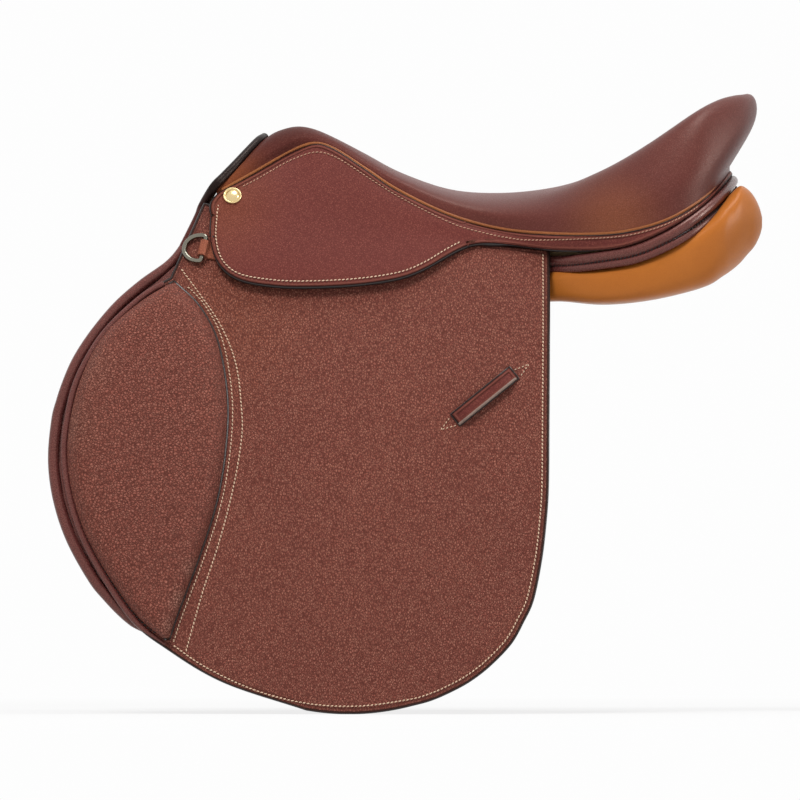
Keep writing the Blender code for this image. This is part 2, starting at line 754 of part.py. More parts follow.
def make_flap_top(side, suffix, mats):
    """Fixed part of the flap above its line, with the recess for the stirrup bar."""
    head = []
    low = FLAP_LINE - GAP / 2
    marks = [0, 0.06, 0.12, 0.2, 0.3, 0.4, 0.46, 0.52, 0.64, 0.82, 1]
    for t in (0, 0.3, 0.6, 1):
        row = []
        for s in marks:
            x_low = FLAP_FRONT_TOP + (FLAP_REAR_X - FLAP_FRONT_TOP) * s
            x_high = FLAP_HEAD_FRONT + (FLAP_REAR_X - FLAP_HEAD_FRONT) * s
            x = x_high + (x_low - x_high) * t
            d = flap_head_drop(x_high)
            row.append((x, height(x, d + (low - d) * t)))
        head.append(row)
    side_sheet(f"flap_top_{suffix}", head, lambda x, z: 0.0, FLAP_THICK, side, mats["leather"])


def flap_head_drop(x):
    """Upper edge of the fixed part of the flap, lower where the stirrup bar is."""
    start = BAR_FRONT - RECESS_MARGIN
    end = BAR_FRONT + BAR_LENGTH + CATCH_LENGTH + RECESS_MARGIN
    inside = ease((x - start) / RECESS_SLOPE + 1) * ease((end - x) / RECESS_SLOPE + 1)
    whole = FLAP_HEAD + (FLAP_HEAD_REAR - FLAP_HEAD) * ease(x / FLAP_HEAD_LENGTH)
    return whole + (FLAP_RECESS - whole) * inside


def make_flap_edge(side, suffix, mats):
    front, rear = flap_outline()
    shift = FLAP_EDGE_RADIUS + 2 * GAP
    path = []
    edge = flat_path(front[:10], 26)[1:]
    for k, (x, z) in enumerate(edge):
        before = edge[max(k - 1, 0)]
        after = edge[min(k + 1, len(edge) - 1)]
        along = Vector((after[0] - before[0], after[1] - before[1]))
        along.normalize()
        out = Vector((along[1], -along[0]))
        path.append(on_side(x + out[0] * shift, z + out[1] * shift,
                            -FLAP_THICK / 2 + 0.2, side))
    return tube(f"flap_edge_{suffix}", path, FLAP_EDGE_RADIUS, mats["plum"], sides=6)


def make_pad(side, suffix, mats):
    rows = 13
    columns = 8
    grid = ruled(flat_path(PAD_LEFT, rows), flat_path(PAD_RIGHT, rows), columns)
    outer = []
    inner = []
    for i, row in enumerate(grid):
        ends = 1 - abs(2 * i / (rows - 1) - 1) ** 3.0
        top = []
        base = []
        for j, (x, z) in enumerate(row):
            crown = (1 - abs(2 * j / (columns - 1) - 1) ** 2.6) ** 0.6
            rise = PAD_EDGE + (PAD_HEIGHT - PAD_EDGE) * crown * ends ** 0.5
            base.append(on_side(x, z, GAP, side))
            top.append(on_side(x, z, GAP + rise, side))
        outer.append(top)
        inner.append(base)
    return slab(f"knee_pad_{suffix}", outer, inner, mats["leather"])


def make_keeper(side, suffix, mats):
    cx, cz = KEEPER_PLACE
    tilt = math.radians(KEEPER_TILT)
    along = Vector((math.cos(tilt), math.sin(tilt)))
    across = Vector((-along[1], along[0]))
    outer = []
    inner = []
    for i in range(9):
        t = i / 8
        reach = (t - 0.5) * KEEPER_LENGTH
        rise = GAP + KEEPER_RISE * ease(min(t, 1 - t) * 5)
        top = []
        low = []
        for k in (-0.5, 0, 0.5):
            x = cx + along[0] * reach + across[0] * k * KEEPER_WIDTH
            z = cz + along[1] * reach + across[1] * k * KEEPER_WIDTH
            top.append(on_side(x, z, rise + KEEPER_THICK, side))
            low.append(on_side(x, z, rise, side))
        outer.append(top)
        inner.append(low)
    return slab(f"keeper_{suffix}", outer, inner, mats["leather"])


def sweat_depth(x):
    """Outer face of the sweat flap: close to the flap in front, behind the straps further back."""
    step = ease((x - SWEAT_STEP_FRONT) / SWEAT_STEP_LENGTH)
    return SWEAT_DEPTH_FRONT + (SWEAT_DEPTH - SWEAT_DEPTH_FRONT) * step


def make_sweat_flap(side, suffix, mats):
    rows = 16
    roll = knot_path([line[0] for line in SWEAT_LINES], rows)
    rear = knot_path([line[1] for line in SWEAT_LINES], rows)
    front = []
    for k, (x, z) in enumerate(roll):
        before = roll[max(k - 1, 0)]
        after = roll[min(k + 1, rows - 1)]
        along = Vector((after[0] - before[0], after[1] - before[1]))
        along.normalize()
        front.append((x - along[1] * SWEAT_EDGE_GAP, z + along[0] * SWEAT_EDGE_GAP))
    grid = ruled(front, rear, 7)
    side_sheet(f"sweat_flap_{suffix}", grid, lambda x, z: -sweat_depth(x), SWEAT_THICK, side,
               mats["plum"])
    middle = SWEAT_THICK / 2
    path = [on_side(x, z, -sweat_depth(x) - middle, side)
            for x, z in knot_path([line[0] for line in SWEAT_LINES], 28)]
    tube(f"front_roll_{suffix}", path, FRONT_ROLL_RADIUS, mats["plum"], sides=7)


def knot_path(points, count):
    """Smooth curve read evenly by its knots, so that two such curves keep step."""
    knots = [Vector(p) for p in points]
    chain = [2 * knots[0] - knots[1], *knots, 2 * knots[-1] - knots[-2]]
    out = []
    for i in range(count):
        t = (len(knots) - 1) * i / (count - 1)
        k = min(int(t), len(knots) - 2)
        p = catmull(chain[k:k + 4], t - k)
        out.append((p[0], p[1]))
    return out


def make_facing(mats):
    """Roll in front of the seat, over the pommel from side to side."""
    lean = Vector(FACING_LEAN) * (FACING_RADIUS + 2 * GAP)
    low = on_side(*FACING_FOOT, -FACING_DEPTH, 1)
    path = [low] + [seat_point(0, v) + lean for v in (0, 0.2, 0.4, 0.6, 0.8, 1)]
    tube("head_facing", mirrored(smooth_path(path, 13)), FACING_RADIUS, mats["plum"], sides=8)


def panel_sections(side):
    """Centre, long direction, half-length and half-thickness of each cushion section."""
    sections = []
    for x, inner_y, inner_z, outer_z, thick in PANEL:
        depth = sweat_depth(x) + SWEAT_THICK + GAP + PANEL_INSET * thick
        outer_y = abs(on_side(x, outer_z, -depth, 1)[1])
        sections.append((x, inner_y, inner_z, outer_y, outer_z, thick))
    sections += PANEL_REAR
    return sections


def section_at(sections, t):
    last = len(sections) - 1
    i = min(int(t), last - 1)
    picks = [sections[max(i - 1, 0)], sections[i], sections[i + 1], sections[min(i + 2, last)]]
    four = [[p[k] for p in picks] for k in range(6)]
    return [catmull(values, t - i) for values in four]


def cushion_rings(side):
    """Rings of points round the cushion, front to rear."""
    sections = panel_sections(side)
    around = 14
    rings = []
    for s in range(PANEL_STEPS + 1):
        x, iy, iz, oy, oz, thick = section_at(sections, (len(sections) - 1) * s / PANEL_STEPS)
        long_way = Vector((oy - iy, oz - iz))
        half = long_way.length / 2
        long_way.normalize()
        square = Vector((-long_way[1], long_way[0]))
        centre = Vector(((iy + oy) / 2, (iz + oz) / 2))
        ring = []
        for k in range(around):
            turn = 2 * math.pi * k / around
            c = math.cos(turn)
            n = math.sin(turn)
            a = half * math.copysign(abs(c) ** (2 / PANEL_ROUND), c)
            b = thick * math.copysign(abs(n) ** (2 / PANEL_ROUND), n)
            p = centre + long_way * a + square * b
            ring.append(Vector((x, side * p[0], p[1])))
        rings.append(ring)
    return rings


def make_panel(side, suffix, mats):
    rings = cushion_rings(side)
    around = len(rings[0])
    verts = [p for ring in rings for p in ring]
    faces = []
    for s in range(len(rings) - 1):
        for k in range(around):
            n = (k + 1) % around
            faces.append((s * around + k, s * around + n, (s + 1) * around + n,
                          (s + 1) * around + k))
    faces.append(tuple(range(around)))
    faces.append(tuple(range((len(rings) - 1) * around, len(rings) * around)))
    mesh_object(f"panel_{suffix}", verts, faces, mats["tan"])


def cushion_top(ring, reach):
    """Highest place of a ring within reach of the centre plane."""
    best = -1000.0
    for a, b in zip(ring, ring[1:] + ring[:1]):
        near, far = (a, b) if a[1] < b[1] else (b, a)
        if near[1] > reach:
            continue
        if far[1] > reach:
            far = near.lerp(far, (reach - near[1]) / (far[1] - near[1]))
        best = max(best, near[2], far[2])
    return best


def make_lining(mats):
    """Lining over the gullet, from cushion to cushion."""
    upper = []
    lower = []
    for ring in cushion_rings(1):
        x = ring[0][0]
        if LINING_FRONT < x < LINING_REAR:
            z = cushion_top(ring, LINING_REACH) + 1.4 * GAP
            sides = (-LINING_REACH, 0, LINING_REACH)
            upper.append([Vector((x, y, z + LINING_THICK)) for y in sides])
            lower.append([Vector((x, y, z)) for y in sides])
    slab("gullet_lining", upper, lower, mats["tan"])


def make_pocket(side, suffix, mats):
    """Leather pocket round the foot of the tree's point."""
    near = RAIL_DEPTH - GAP
    far = RAIL_DEPTH + POINT_THICK + GAP
    foot = POINT_FOOT + GAP
    brim = POINT_FOOT - POCKET_RISE
    section = [(near - POCKET_THICK, brim), (near - POCKET_THICK, foot + POCKET_THICK),
               (far + POCKET_THICK, foot + POCKET_THICK), (far + POCKET_THICK, brim),
               (far, brim), (far, foot), (near, foot), (near, brim)]
    verts = []
    for x in (HEAD_FRONT - GAP, HEAD_FRONT + HEAD_LENGTH + GAP):
        verts += [on_side(x, height(x, d), -depth, side) for depth, d in section]
    count = len(section)
    faces = [(0, 1, 6, 7), (1, 2, 5, 6), (2, 3, 4, 5)]
    faces += [tuple(k + count for k in face) for face in faces]
    for k in range(count):
        n = (k + 1) % count
        faces.append((k, n, n + count, k + count))
    mesh_object(f"point_pocket_{suffix}", verts, faces, mats["strap"], smooth=False)


def patch(name, rows, columns, low, thick, mat):
    """Plate that follows the foam's underside, low millimetres below it."""
    down = Vector((0, 0, low))
    more = Vector((0, 0, low + thick))
    top = [[p - down for p in row] for row in both_sides(under_seat, rows, columns)]
    under = [[p - more for p in row] for row in both_sides(under_seat, rows, columns)]
    return slab(name, top, under, mat)


def make_tree(mats):
    plate_low = 5 * GAP
    layer = plate_low + PLATE_THICK + GAP
    grid_top = []
    grid_low = []
    for k, u in enumerate(HEAD_RIBS):
        x = HEAD_FRONT + HEAD_LENGTH * k / 2
        heights = [height(x, POINT_FOOT - rise) for rise in HEAD_LEG_RISES]
        legs = [on_side(x, z, -RAIL_DEPTH, 1) for z in heights]
        legs_in = [on_side(x, z, -RAIL_DEPTH - POINT_THICK, 1) for z in heights]
        arch = [under_seat(u, v) - Vector((0, 0, layer)) for v in HEAD_MARKS]
        arch_in = [p - Vector((0, HEAD_ARCH_LEAN * BOARD_THICK * (1 - v) ** 2, BOARD_THICK))
                   for p, v in zip(arch, HEAD_MARKS)]
        grid_top.append(mirrored(legs + arch))
        grid_low.append(mirrored(legs_in + arch_in))
    slab("tree_head", grid_top, grid_low, mats["wood"])
    low = layer + BOARD_THICK + 2 * GAP
    patch("gullet_plate", HEAD_RIBS, HEAD_MARKS[2:], low, PLATE_THICK, mats["steel"])
    patch("head_plate", HEAD_RIBS, HEAD_MARKS[1:], plate_low, PLATE_THICK, mats["steel"])
    first = rib_at(RAIL_REAR + GAP)
    top = []
    for u in seat_rows(first, SEAT_U, SEAT_REAR_ROWS):
        inwards = CANTLE_INWARDS * (1 - ease((u - first) / 3))
        top.append([under_seat(u, v + inwards) - Vector((0, 0, 3 * GAP))
                    for v in CANTLE_MARKS])
    under = [[p - Vector((0, 0, BOARD_THICK)) for p in row] for row in top]
    wide_top = [[settle(p, -1) for p in row] for row in top] + top[::-1][1:]
    wide_low = [[settle(p, -1) for p in row] for row in under] + under[::-1][1:]
    slab("tree_cantle", wide_top, wide_low, mats["wood"])


def make_rail(side, suffix, mats):
    """Rail of the tree, from the head to the cantle, with its spring inside."""
    places = [RAIL_FRONT + (RAIL_REAR - RAIL_FRONT) * i / 10 for i in range(11)]
    grid = [[(x, height(x, d)) for d in (RAIL_TOP, RAIL_FOOT)] for x in places]
    side_sheet(f"tree_rail_{suffix}", grid, lambda x, z: -RAIL_DEPTH, RAIL_THICK, side,
               mats["wood"])
    grid = [[(x, height(x, d)) for d in (RAIL_TOP + 1, RAIL_FOOT - 1)] for x in places[:-1]]
    side_sheet(f"spring_{suffix}", grid, lambda x, z: -RAIL_DEPTH - RAIL_THICK - GAP,
               SPRING_THICK, side, mats["steel"])


def make_webs(mats):
    """Webs of the seat: one along the middle, and three across that carry the straps."""
    patch("strainer_web", seat_rows(*STRAINER_RIBS, 15), STRAINER_MARKS, 5 * GAP + WEB_THICK,
          WEB_THICK, mats["web"])
    for name, x, depth in zip(STRAP_NAMES, STRAP_PLACES, WEB_TAIL_DEPTHS):
        rows_out = []
        rows_in = []
        for k in (-0.5, 0, 0.5):
            place = x + k * GIRTH_WEB_WIDTH
            u = rib_at(place)
            arch = [under_seat(u, v) - Vector((0, 0, 2 * GAP)) for v in GIRTH_WEB_MARKS]
            arch_in = [p - Vector((0, 0, WEB_THICK)) for p in arch]
            foot = STRAP_TOP + STRAP_PIVOT
            top = drop(place, arch[0][2]) + WEB_TAIL_TOP
            drops = [foot + (top - foot) * t for t in (0, 0.5, 1)]
            tail = [on_side(place, height(place, d), -depth, 1) for d in drops]
            tail_in = [on_side(place, height(place, d), -depth - STRAP_THICK, 1) for d in drops]
            rows_out.append(mirrored([level(p, place) for p in tail + arch]))
            rows_in.append(mirrored([level(p, place) for p in tail_in + arch_in]))
        slab(f"girth_web_{name}", rows_out, rows_in, mats["web"])


def level(p, x):
    return Vector((x, p[1], p[2]))


def rib_at(x):
    """Rib whose seam lies at x, for the ribs that stand square to the centre plane."""
    low = 4.0
    high = 10.0
    for _ in range(30):
        middle = (low + high) / 2
        if rib_points(middle)[0][0] < x:
            low = middle
        else:
            high = middle
    return (low + high) / 2


def strap_direction(x):
    """Way a strap hangs from its pivot, in the side's tangent plane there."""
    square = side_normal(x, height(x, STRAP_TOP + STRAP_PIVOT), 1)
    down = Vector((0, 0, -1))
    return (down - down.dot(square) * square).normalized()


def make_straps(side, suffix, mats):
    for name, x0, depth in zip(STRAP_NAMES, STRAP_PLACES, STRAP_DEPTHS):
        lean = strap_direction(x0)
        per_drop = lean[0] / -lean[2]
        rows = []
        for i in range(9):
            fall = STRAP_LENGTH * i / 8
            z = height(x0, STRAP_TOP) - fall
            middle = x0 + per_drop * fall
            wide = STRAP_WIDTH / 2
            if i == 8:
                wide *= STRAP_POINT
            rows.append([(middle + k * wide, z) for k in (-1, 1)])
        strap = side_sheet(f"strap_{name}_{suffix}", rows, lambda x, z: -depth, STRAP_THICK,
                           side, mats["strap"])
        pivot_z = height(x0, STRAP_TOP + STRAP_PIVOT)
        set_origin(strap, on_side(x0 + per_drop * STRAP_PIVOT, pivot_z, -depth, side))
        punch_strap(strap, x0, per_drop, depth, side)


def punch_strap(strap, x0, per_drop, depth, side):
    """Row of buckle holes up the strap's lower half."""
    for k in range(STRAP_HOLES):
        fall = STRAP_LENGTH - STRAP_LAST_HOLE - k * STRAP_HOLE_PITCH
        x = x0 + per_drop * fall
        z = height(x0, STRAP_TOP) - fall
        centre = on_side(x, z, -depth - STRAP_THICK / 2, side)
        square = side_normal(x, z, side)
        drill(strap, f"{strap.name}_hole_{k}", centre, square, STRAP_HOLE_RADIUS,
              STRAP_THICK * 3, 6)


def drill(target, name, centre, along, radius, length, sides):
    cutter = round_bar(name, centre - along * length / 2, along, radius, length, sides, None)
    cutter.hide_render = True
    cutter.display_type = "WIRE"
    cut = target.modifiers.new(name, "BOOLEAN")
    cut.operation = "DIFFERENCE"
    cut.object = cutter
    return cutter


def round_bar(name, start, along, radius, length, sides, mat):
    work = bmesh.new()
    bmesh.ops.create_cone(work, cap_ends=True, segments=sides, radius1=radius * MM,
                          radius2=radius * MM, depth=length * MM)
    mesh = bpy.data.meshes.new(name)
    work.to_mesh(mesh)
    work.free()
    if mat:
        mesh.materials.append(mat)
    made = bpy.data.objects.new(name, mesh)
    bpy.context.scene.collection.objects.link(made)
    turn = Vector((0, 0, 1)).rotation_difference(along).to_matrix().to_4x4()
    made.matrix_world = Matrix.Translation((start + along * length / 2) * MM) @ turn
    return made


def lathe(name, base, along, profile, sides, mat):
    """Solid of revolution about along: profile holds radius and distance from base."""
    side_way = along.orthogonal().normalized()
    other_way = along.cross(side_way)
    verts = []
    for radius, reach in profile:
        for k in range(sides):
            turn = 2 * math.pi * k / sides
            spoke = side_way * math.cos(turn) + other_way * math.sin(turn)
            verts.append(base + along * reach + spoke * radius)
    faces = []
    for i in range(len(profile) - 1):
        for k in range(sides):
            n = (k + 1) % sides
            faces.append((i * sides + k, i * sides + n, (i + 1) * sides + n, (i + 1) * sides + k))
    faces.append(tuple(range(sides)))
    faces.append(tuple(range((len(profile) - 1) * sides, len(profile) * sides)))
    return mesh_object(name, verts, faces, mat)


def bar_frame(side):
    """Stirrup bar's own directions: origin at its front, along, up and out."""
    z = height(BAR_FRONT, BAR_LINE)
    along = Vector((1, side * FLARE_TO_REAR, -BEND_FALL)).normalized()
    middle_x = BAR_FRONT + BAR_LENGTH / 2
    out = side_normal(middle_x, height(middle_x, BAR_LINE), side)
    up = side * along.cross(out)
    return on_side(BAR_FRONT, z, 0, side), along, up.normalized(), out


def prism(name, outline, frame, low, high, mat):
    """Outline in along and out, carried from low to high along up."""
    origin, along, up, out = frame
    verts = []
    for level_up in (low, high):
        for a, b in outline:
            verts.append(origin + along * a + out * b + up * level_up)
    count = len(outline)
    faces = [tuple(range(count)), tuple(range(2 * count - 1, count - 1, -1))]
    for k in range(count):
        n = (k + 1) % count
        faces.append((k, k + count, n + count, n))
    return mesh_object(name, verts, faces, mat, smooth=False)


def make_bar(side, suffix, mats):
    """Stirrup bar with the catch that tips up at its rear end, and the catch's rivet."""
    frame = bar_frame(side)
    origin, along, up, out = frame
    back = -RAIL_DEPTH + GAP
    slot = back + BAR_PLATE_THICK
    rod = slot + BAR_SLOT
    face = rod + BAR_ROD_THICK
    plate_end = BAR_LENGTH + CATCH_LENGTH
    corner = 5
    outline = [(0, back), (plate_end, back), (plate_end, slot), (BAR_NECK, slot),
               (BAR_NECK, rod), (BAR_LENGTH, rod), (BAR_LENGTH, face), (corner, face),
               (0, face - corner)]
    bar = prism(f"stirrup_bar_{suffix}", outline, frame, -BAR_HEIGHT / 2, BAR_HEIGHT / 2,
                mats["steel"])
    lip = BAR_LENGTH + CATCH_CLEARANCE
    base = slot + GAP
    catch_outline = [(lip, base), (plate_end, base), (plate_end, base + CATCH_THICK),
                     (lip + CATCH_THICK, base + CATCH_THICK), (lip + CATCH_THICK, face - GAP),
                     (lip, face - GAP)]
    catch = prism(f"bar_catch_{suffix}", catch_outline, frame, -CATCH_WIDTH / 2,
                  CATCH_WIDTH / 2, mats["steel"])
    pivot = origin + along * CATCH_PIVOT
    hole = PIN_RADIUS + GAP
    for piece in (bar, catch):
        drill(piece, f"{piece.name}_bore", pivot + out * slot, out, hole, 4 * BAR_PLATE_THICK, 16)
    set_origin(catch, pivot + out * base)
    head_low = base + CATCH_THICK + GAP
    reach = head_low - back
    profile = [(PIN_RADIUS, 0), (PIN_RADIUS, reach), (PIN_HEAD_RADIUS, reach),
               (PIN_HEAD_RADIUS, reach + PIN_HEAD_THICK)]
    lathe(f"catch_pin_{suffix}", pivot + out * back, out, profile, 16, mats["steel"])


def make_ring(side, suffix, mats):
    """D-ring in front of the skirt, in a tab that comes out from under it."""
    x, z = RING_PLACE
    reach = RING_REACH
    top = on_side(x - RING_LEAN[0] * reach, z - RING_LEAN[1] * reach, RING_STAND, side)
    foot = on_side(x + RING_LEAN[0] * reach, z + RING_LEAN[1] * reach, RING_STAND, side)
    centre = (top + foot) / 2
    down = (foot - top).normalized()
    square = side_normal(x, z, side)
    square = (square - square.dot(down) * down).normalized()
    forward = side * square.cross(down)
    tilt = math.radians(RING_TILT)
    lying = forward * math.cos(tilt) - square * math.sin(tilt)
    half = [centre + down * s + lying * t for s, t in RING_HALF[1:]]
    other = [centre - down * s + lying * t for s, t in RING_HALF[1:]]
    path = [centre, *half, *reversed(other)]
    ring = tube(f"d_ring_{suffix}", path, RING_WIRE_RADIUS, mats["steel"], sides=8, closed=True,
                up=square)
    set_origin(ring, centre)
    bore = RING_WIRE_RADIUS + GAP
    skin = bore + TAB_THICK
    tail = -TAB_TAIL
    base = GAP - RING_STAND
    loop = [(1, 0), (0.87, 0.5), (0.5, 0.87), (0, 1), (-0.5, 0.87), (-0.87, 0.5), (-1, 0),
            (-0.87, -0.5), (-0.5, -0.87), (0, -1), (0.5, -0.87), (0.87, -0.5)]
    inside = [(a * bore, b * bore) for a, b in loop]
    outside = [(a * skin, b * skin) for a, b in loop]
    outside[4:7] = TAB_SHOULDER
    outside[7:10] = [(tail, base + TAB_THICK), (tail, base), (0, base)]
    verts = []
    for s in (-TAB_WIDTH / 2, TAB_WIDTH / 2):
        verts += [centre + down * s + forward * a + square * b for a, b in outside]
        verts += [centre + down * s + forward * a + square * b for a, b in inside]
    count = len(loop)
    faces = []
    for k in range(count):
        n = (k + 1) % count
        faces.append((k, n, count + n, count + k))
        faces.append((2 * count + k, 2 * count + n, 3 * count + n, 3 * count + k))
        faces.append((k, n, 2 * count + n, 2 * count + k))
        faces.append((count + k, count + n, 3 * count + n, 3 * count + k))
    mesh_object(f"d_tab_{suffix}", verts, faces, mats["leather"], smooth=False)


def make_nail(skirt_grid, side, suffix, mats):
    """Brass nail on the upper part of the skirt."""
    k = 1
    while skirt_grid[k][1][0] < NAIL_PLACE[0]:
        k += 1
    near = skirt_grid[k - 1]
    far = skirt_grid[k]
    t = (NAIL_PLACE[0] - near[1][0]) / (far[1][0] - near[1][0])
    middle = near[1].lerp(far[1], t)
    up = near[0].lerp(far[0], t) - near[2].lerp(far[2], t)
    square = side * up.cross(far[1] - near[1]).normalized()
    middle = middle + up.normalized() * (NAIL_PLACE[1] - middle[2])
    lathe(f"saddle_nail_{suffix}", middle + square * NAIL_STAND, square, NAIL_PROFILE, 14,
          mats["brass"])


def build():
    clear_scene()
    mats = {
        "leather": material("flap_leather", LEATHER, 0.5),
        "seat": material("seat_leather", SEAT_LEATHER, 0.42),
        "plum": material("plum_leather", PLUM, 0.4),
        "tan": material("tan_leather", TAN, 0.45),
        "strap": material("strap_leather", LEATHER, 0.55),
        "web": material("webbing", WEBBING, 0.9),
        "foam": material("foam", FOAM, 0.9),
        "wood": material("tree_wood", WOOD, 0.6),
        "steel": material("steel", STEEL, 0.35, 1.0),
        "brass": material("brass", BRASS, 0.25, 1.0),
    }
    make_seat(mats)
    make_piping(mats)
    make_rolls(mats)
    make_facing(mats)
    make_tree(mats)
    make_webs(mats)
    make_lining(mats)
    for side, suffix in ((-1, "left"), (1, "right")):
        skirt_grid = make_skirts(side, suffix, mats)
        make_nail(skirt_grid, side, suffix, mats)
        make_flaps(side, suffix, mats)
        make_sweat_flap(side, suffix, mats)
        make_panel(side, suffix, mats)
        make_rail(side, suffix, mats)
        make_straps(side, suffix, mats)
        make_pocket(side, suffix, mats)
        make_bar(side, suffix, mats)
        make_ring(side, suffix, mats)


build()
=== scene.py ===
import math

import bmesh
import bpy
import numpy as np
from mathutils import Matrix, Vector


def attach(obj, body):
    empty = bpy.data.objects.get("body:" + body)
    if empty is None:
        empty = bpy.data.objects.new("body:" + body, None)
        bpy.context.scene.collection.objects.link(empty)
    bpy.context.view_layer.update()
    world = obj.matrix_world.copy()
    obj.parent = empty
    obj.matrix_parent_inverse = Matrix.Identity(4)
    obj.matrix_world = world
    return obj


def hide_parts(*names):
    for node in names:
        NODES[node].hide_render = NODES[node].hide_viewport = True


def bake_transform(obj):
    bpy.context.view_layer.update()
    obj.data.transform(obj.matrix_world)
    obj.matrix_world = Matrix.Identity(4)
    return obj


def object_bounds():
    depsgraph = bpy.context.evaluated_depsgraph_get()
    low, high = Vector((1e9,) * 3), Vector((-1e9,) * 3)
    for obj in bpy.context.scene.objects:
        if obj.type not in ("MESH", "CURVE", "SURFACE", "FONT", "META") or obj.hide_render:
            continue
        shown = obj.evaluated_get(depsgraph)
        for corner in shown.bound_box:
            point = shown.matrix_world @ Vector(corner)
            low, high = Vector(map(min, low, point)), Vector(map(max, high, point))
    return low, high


# Pony saddle: looks. Lengths are millimetres until they reach a mesh; +X is the rear,
# -Y the left side and +Z up.
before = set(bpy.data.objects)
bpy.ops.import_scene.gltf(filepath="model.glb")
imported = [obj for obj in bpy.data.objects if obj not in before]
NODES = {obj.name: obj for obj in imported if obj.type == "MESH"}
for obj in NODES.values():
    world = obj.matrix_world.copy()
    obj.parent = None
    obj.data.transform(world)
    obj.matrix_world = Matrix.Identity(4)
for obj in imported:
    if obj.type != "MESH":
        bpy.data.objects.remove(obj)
CAD_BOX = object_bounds()
SIDES = ((-1, "left"), (1, "right"))
MIRROR = np.array([1.0, -1.0, 1.0])
MM = 0.001
HINGE_DROP, HINGE_TILT = 26.4, 0.0987
SPREAD, FLARE, FLARE_FADE = 0.15, 45.0, 150.0
LEATHER = 3.0
HEM = 4.3
BLACK_EDGE = (0.010, 0.006, 0.005)


# Curves and surfaces

def catmull(a, b, c, d, t):
    return 0.5 * (2 * b + (c - a) * t + (2 * a - 5 * b + 4 * c - d) * t ** 2
                  + (3 * b - a - 3 * c + d) * t ** 3)


def curve(points, count):
    """Catmull-Rom curve read at equal steps of its length."""
    knots = np.array(points, float)
    chain = np.vstack([2 * knots[0] - knots[1], knots, 2 * knots[-1] - knots[-2]])
    t = np.linspace(0, 1, 25)[:-1, None]
    fine = [catmull(chain[i - 1], chain[i], chain[i + 1], chain[i + 2], t)
            for i in range(1, len(chain) - 2)]
    return resample(np.vstack(fine + [knots[-1:]]), count)


def reach_of(points):
    """Way along a line of points, at each point."""
    return np.concatenate([[0], np.cumsum(np.linalg.norm(np.diff(points, axis=0), axis=1))])


def resample(points, count):
    reach = reach_of(points)
    want = np.linspace(0, reach[-1], count)
    return np.stack([np.interp(want, reach, points[:, k]) for k in range(points.shape[1])], 1)


def ease(t):
    t = np.clip(t, 0, 1)
    return t * t * (3 - 2 * t)


def unit(v):
    return v / np.maximum(np.linalg.norm(v, axis=-1, keepdims=True), 1e-12)


def height(x, d):
    """Height of a place d below the flap's hinge line."""
    return -HINGE_DROP - HINGE_TILT * x - d


def drop(x, z):
    """How far a place lies below the flap's hinge line."""
    return -HINGE_DROP - HINGE_TILT * x - z


def half_width(x, z):
    """Way from the middle of the saddle to the flap's outer face."""
    d = drop(x, z)
    return 95 + 0.1 * x + SPREAD * d + FLARE * (1 - np.exp(-d / FLARE_FADE))


def face_slope(x, z):
    slope = SPREAD + FLARE / FLARE_FADE * np.exp(-drop(x, z) / FLARE_FADE)
    return slope, 0.1 - HINGE_TILT * slope


def on_side(x, z, out, side):
    """Points out millimetres off the flap's outer face at x and z."""
    x, z, out = np.broadcast_arrays(np.asarray(x, float), np.asarray(z, float), out)
    slope, lean = face_slope(x, z)
    spread = np.sqrt(1 + slope ** 2 + lean ** 2)
    return np.stack([x, side * (half_width(x, z) + out * spread), z], -1)


def at_side(place, out, side):
    """The same for an array of x and z places."""
    return on_side(place[..., 0], place[..., 1], out, side)


def both_sides(half):
    """A line's mirror image and the line back from its end on the middle plane, as one."""
    return np.vstack([half * MIRROR, half[-2::-1]])


def side_normal(x, z, side):
    x, z = np.broadcast_arrays(np.asarray(x, float), np.asarray(z, float))
    slope, lean = face_slope(x, z)
    return unit(np.stack([-lean, np.full(x.shape, float(side)), slope], -1))


def soften(grid, times):
    """Evens a grid of points out; its border rows stay."""
    grid = grid.copy()
    for _ in range(times):
        near = (grid[:-2, 1:-1] + grid[2:, 1:-1] + grid[1:-1, :-2] + grid[1:-1, 2:]) / 4
        grid[1:-1, 1:-1] = 0.5 * grid[1:-1, 1:-1] + 0.5 * near
    return grid


def soften_line(line, times):
    """Evens a line of points, or each column of a grid, out in place; its ends stay."""
    for _ in range(times):
        line[1:-1] = line[1:-1] / 2 + (line[:-2] + line[2:]) / 4


def grid_normals(grid):
    return unit(np.cross(np.gradient(grid, axis=0), np.gradient(grid, axis=1)))


# Meshes

def new_object(name, verts, faces, looks, face_mats=None, uvs=None, edge=None):
    """Smooth mesh from points in millimetres; looks are one or more keys of MATS."""
    mesh = bpy.data.meshes.new(name)
    mesh.from_pydata((np.asarray(verts, float) * MM).tolist(), [], faces)
    for look in ([looks] if isinstance(looks, str) else looks):
        mesh.materials.append(MATS[look])
    if face_mats is not None:
        mesh.polygons.foreach_set("material_index", np.asarray(face_mats, np.int32))
    if uvs is not None:
        layer = mesh.uv_layers.new(name="Leather")
        loops = np.zeros(len(mesh.loops), np.int32)
        mesh.loops.foreach_get("vertex_index", loops)
        layer.data.foreach_set("uv", (np.asarray(uvs, np.float32)[loops] * MM).ravel())
    if edge is not None:
        attribute = mesh.attributes.new("edge", "FLOAT", "POINT")
        attribute.data.foreach_set("value", np.asarray(edge, np.float32))
    work = bmesh.new()
    work.from_mesh(mesh)
    bmesh.ops.recalc_face_normals(work, faces=work.faces)
    work.to_mesh(mesh)
    work.free()
    made = bpy.data.objects.new(name, mesh)
    bpy.context.scene.collection.objects.link(made)
    mesh.shade_smooth()
    return made


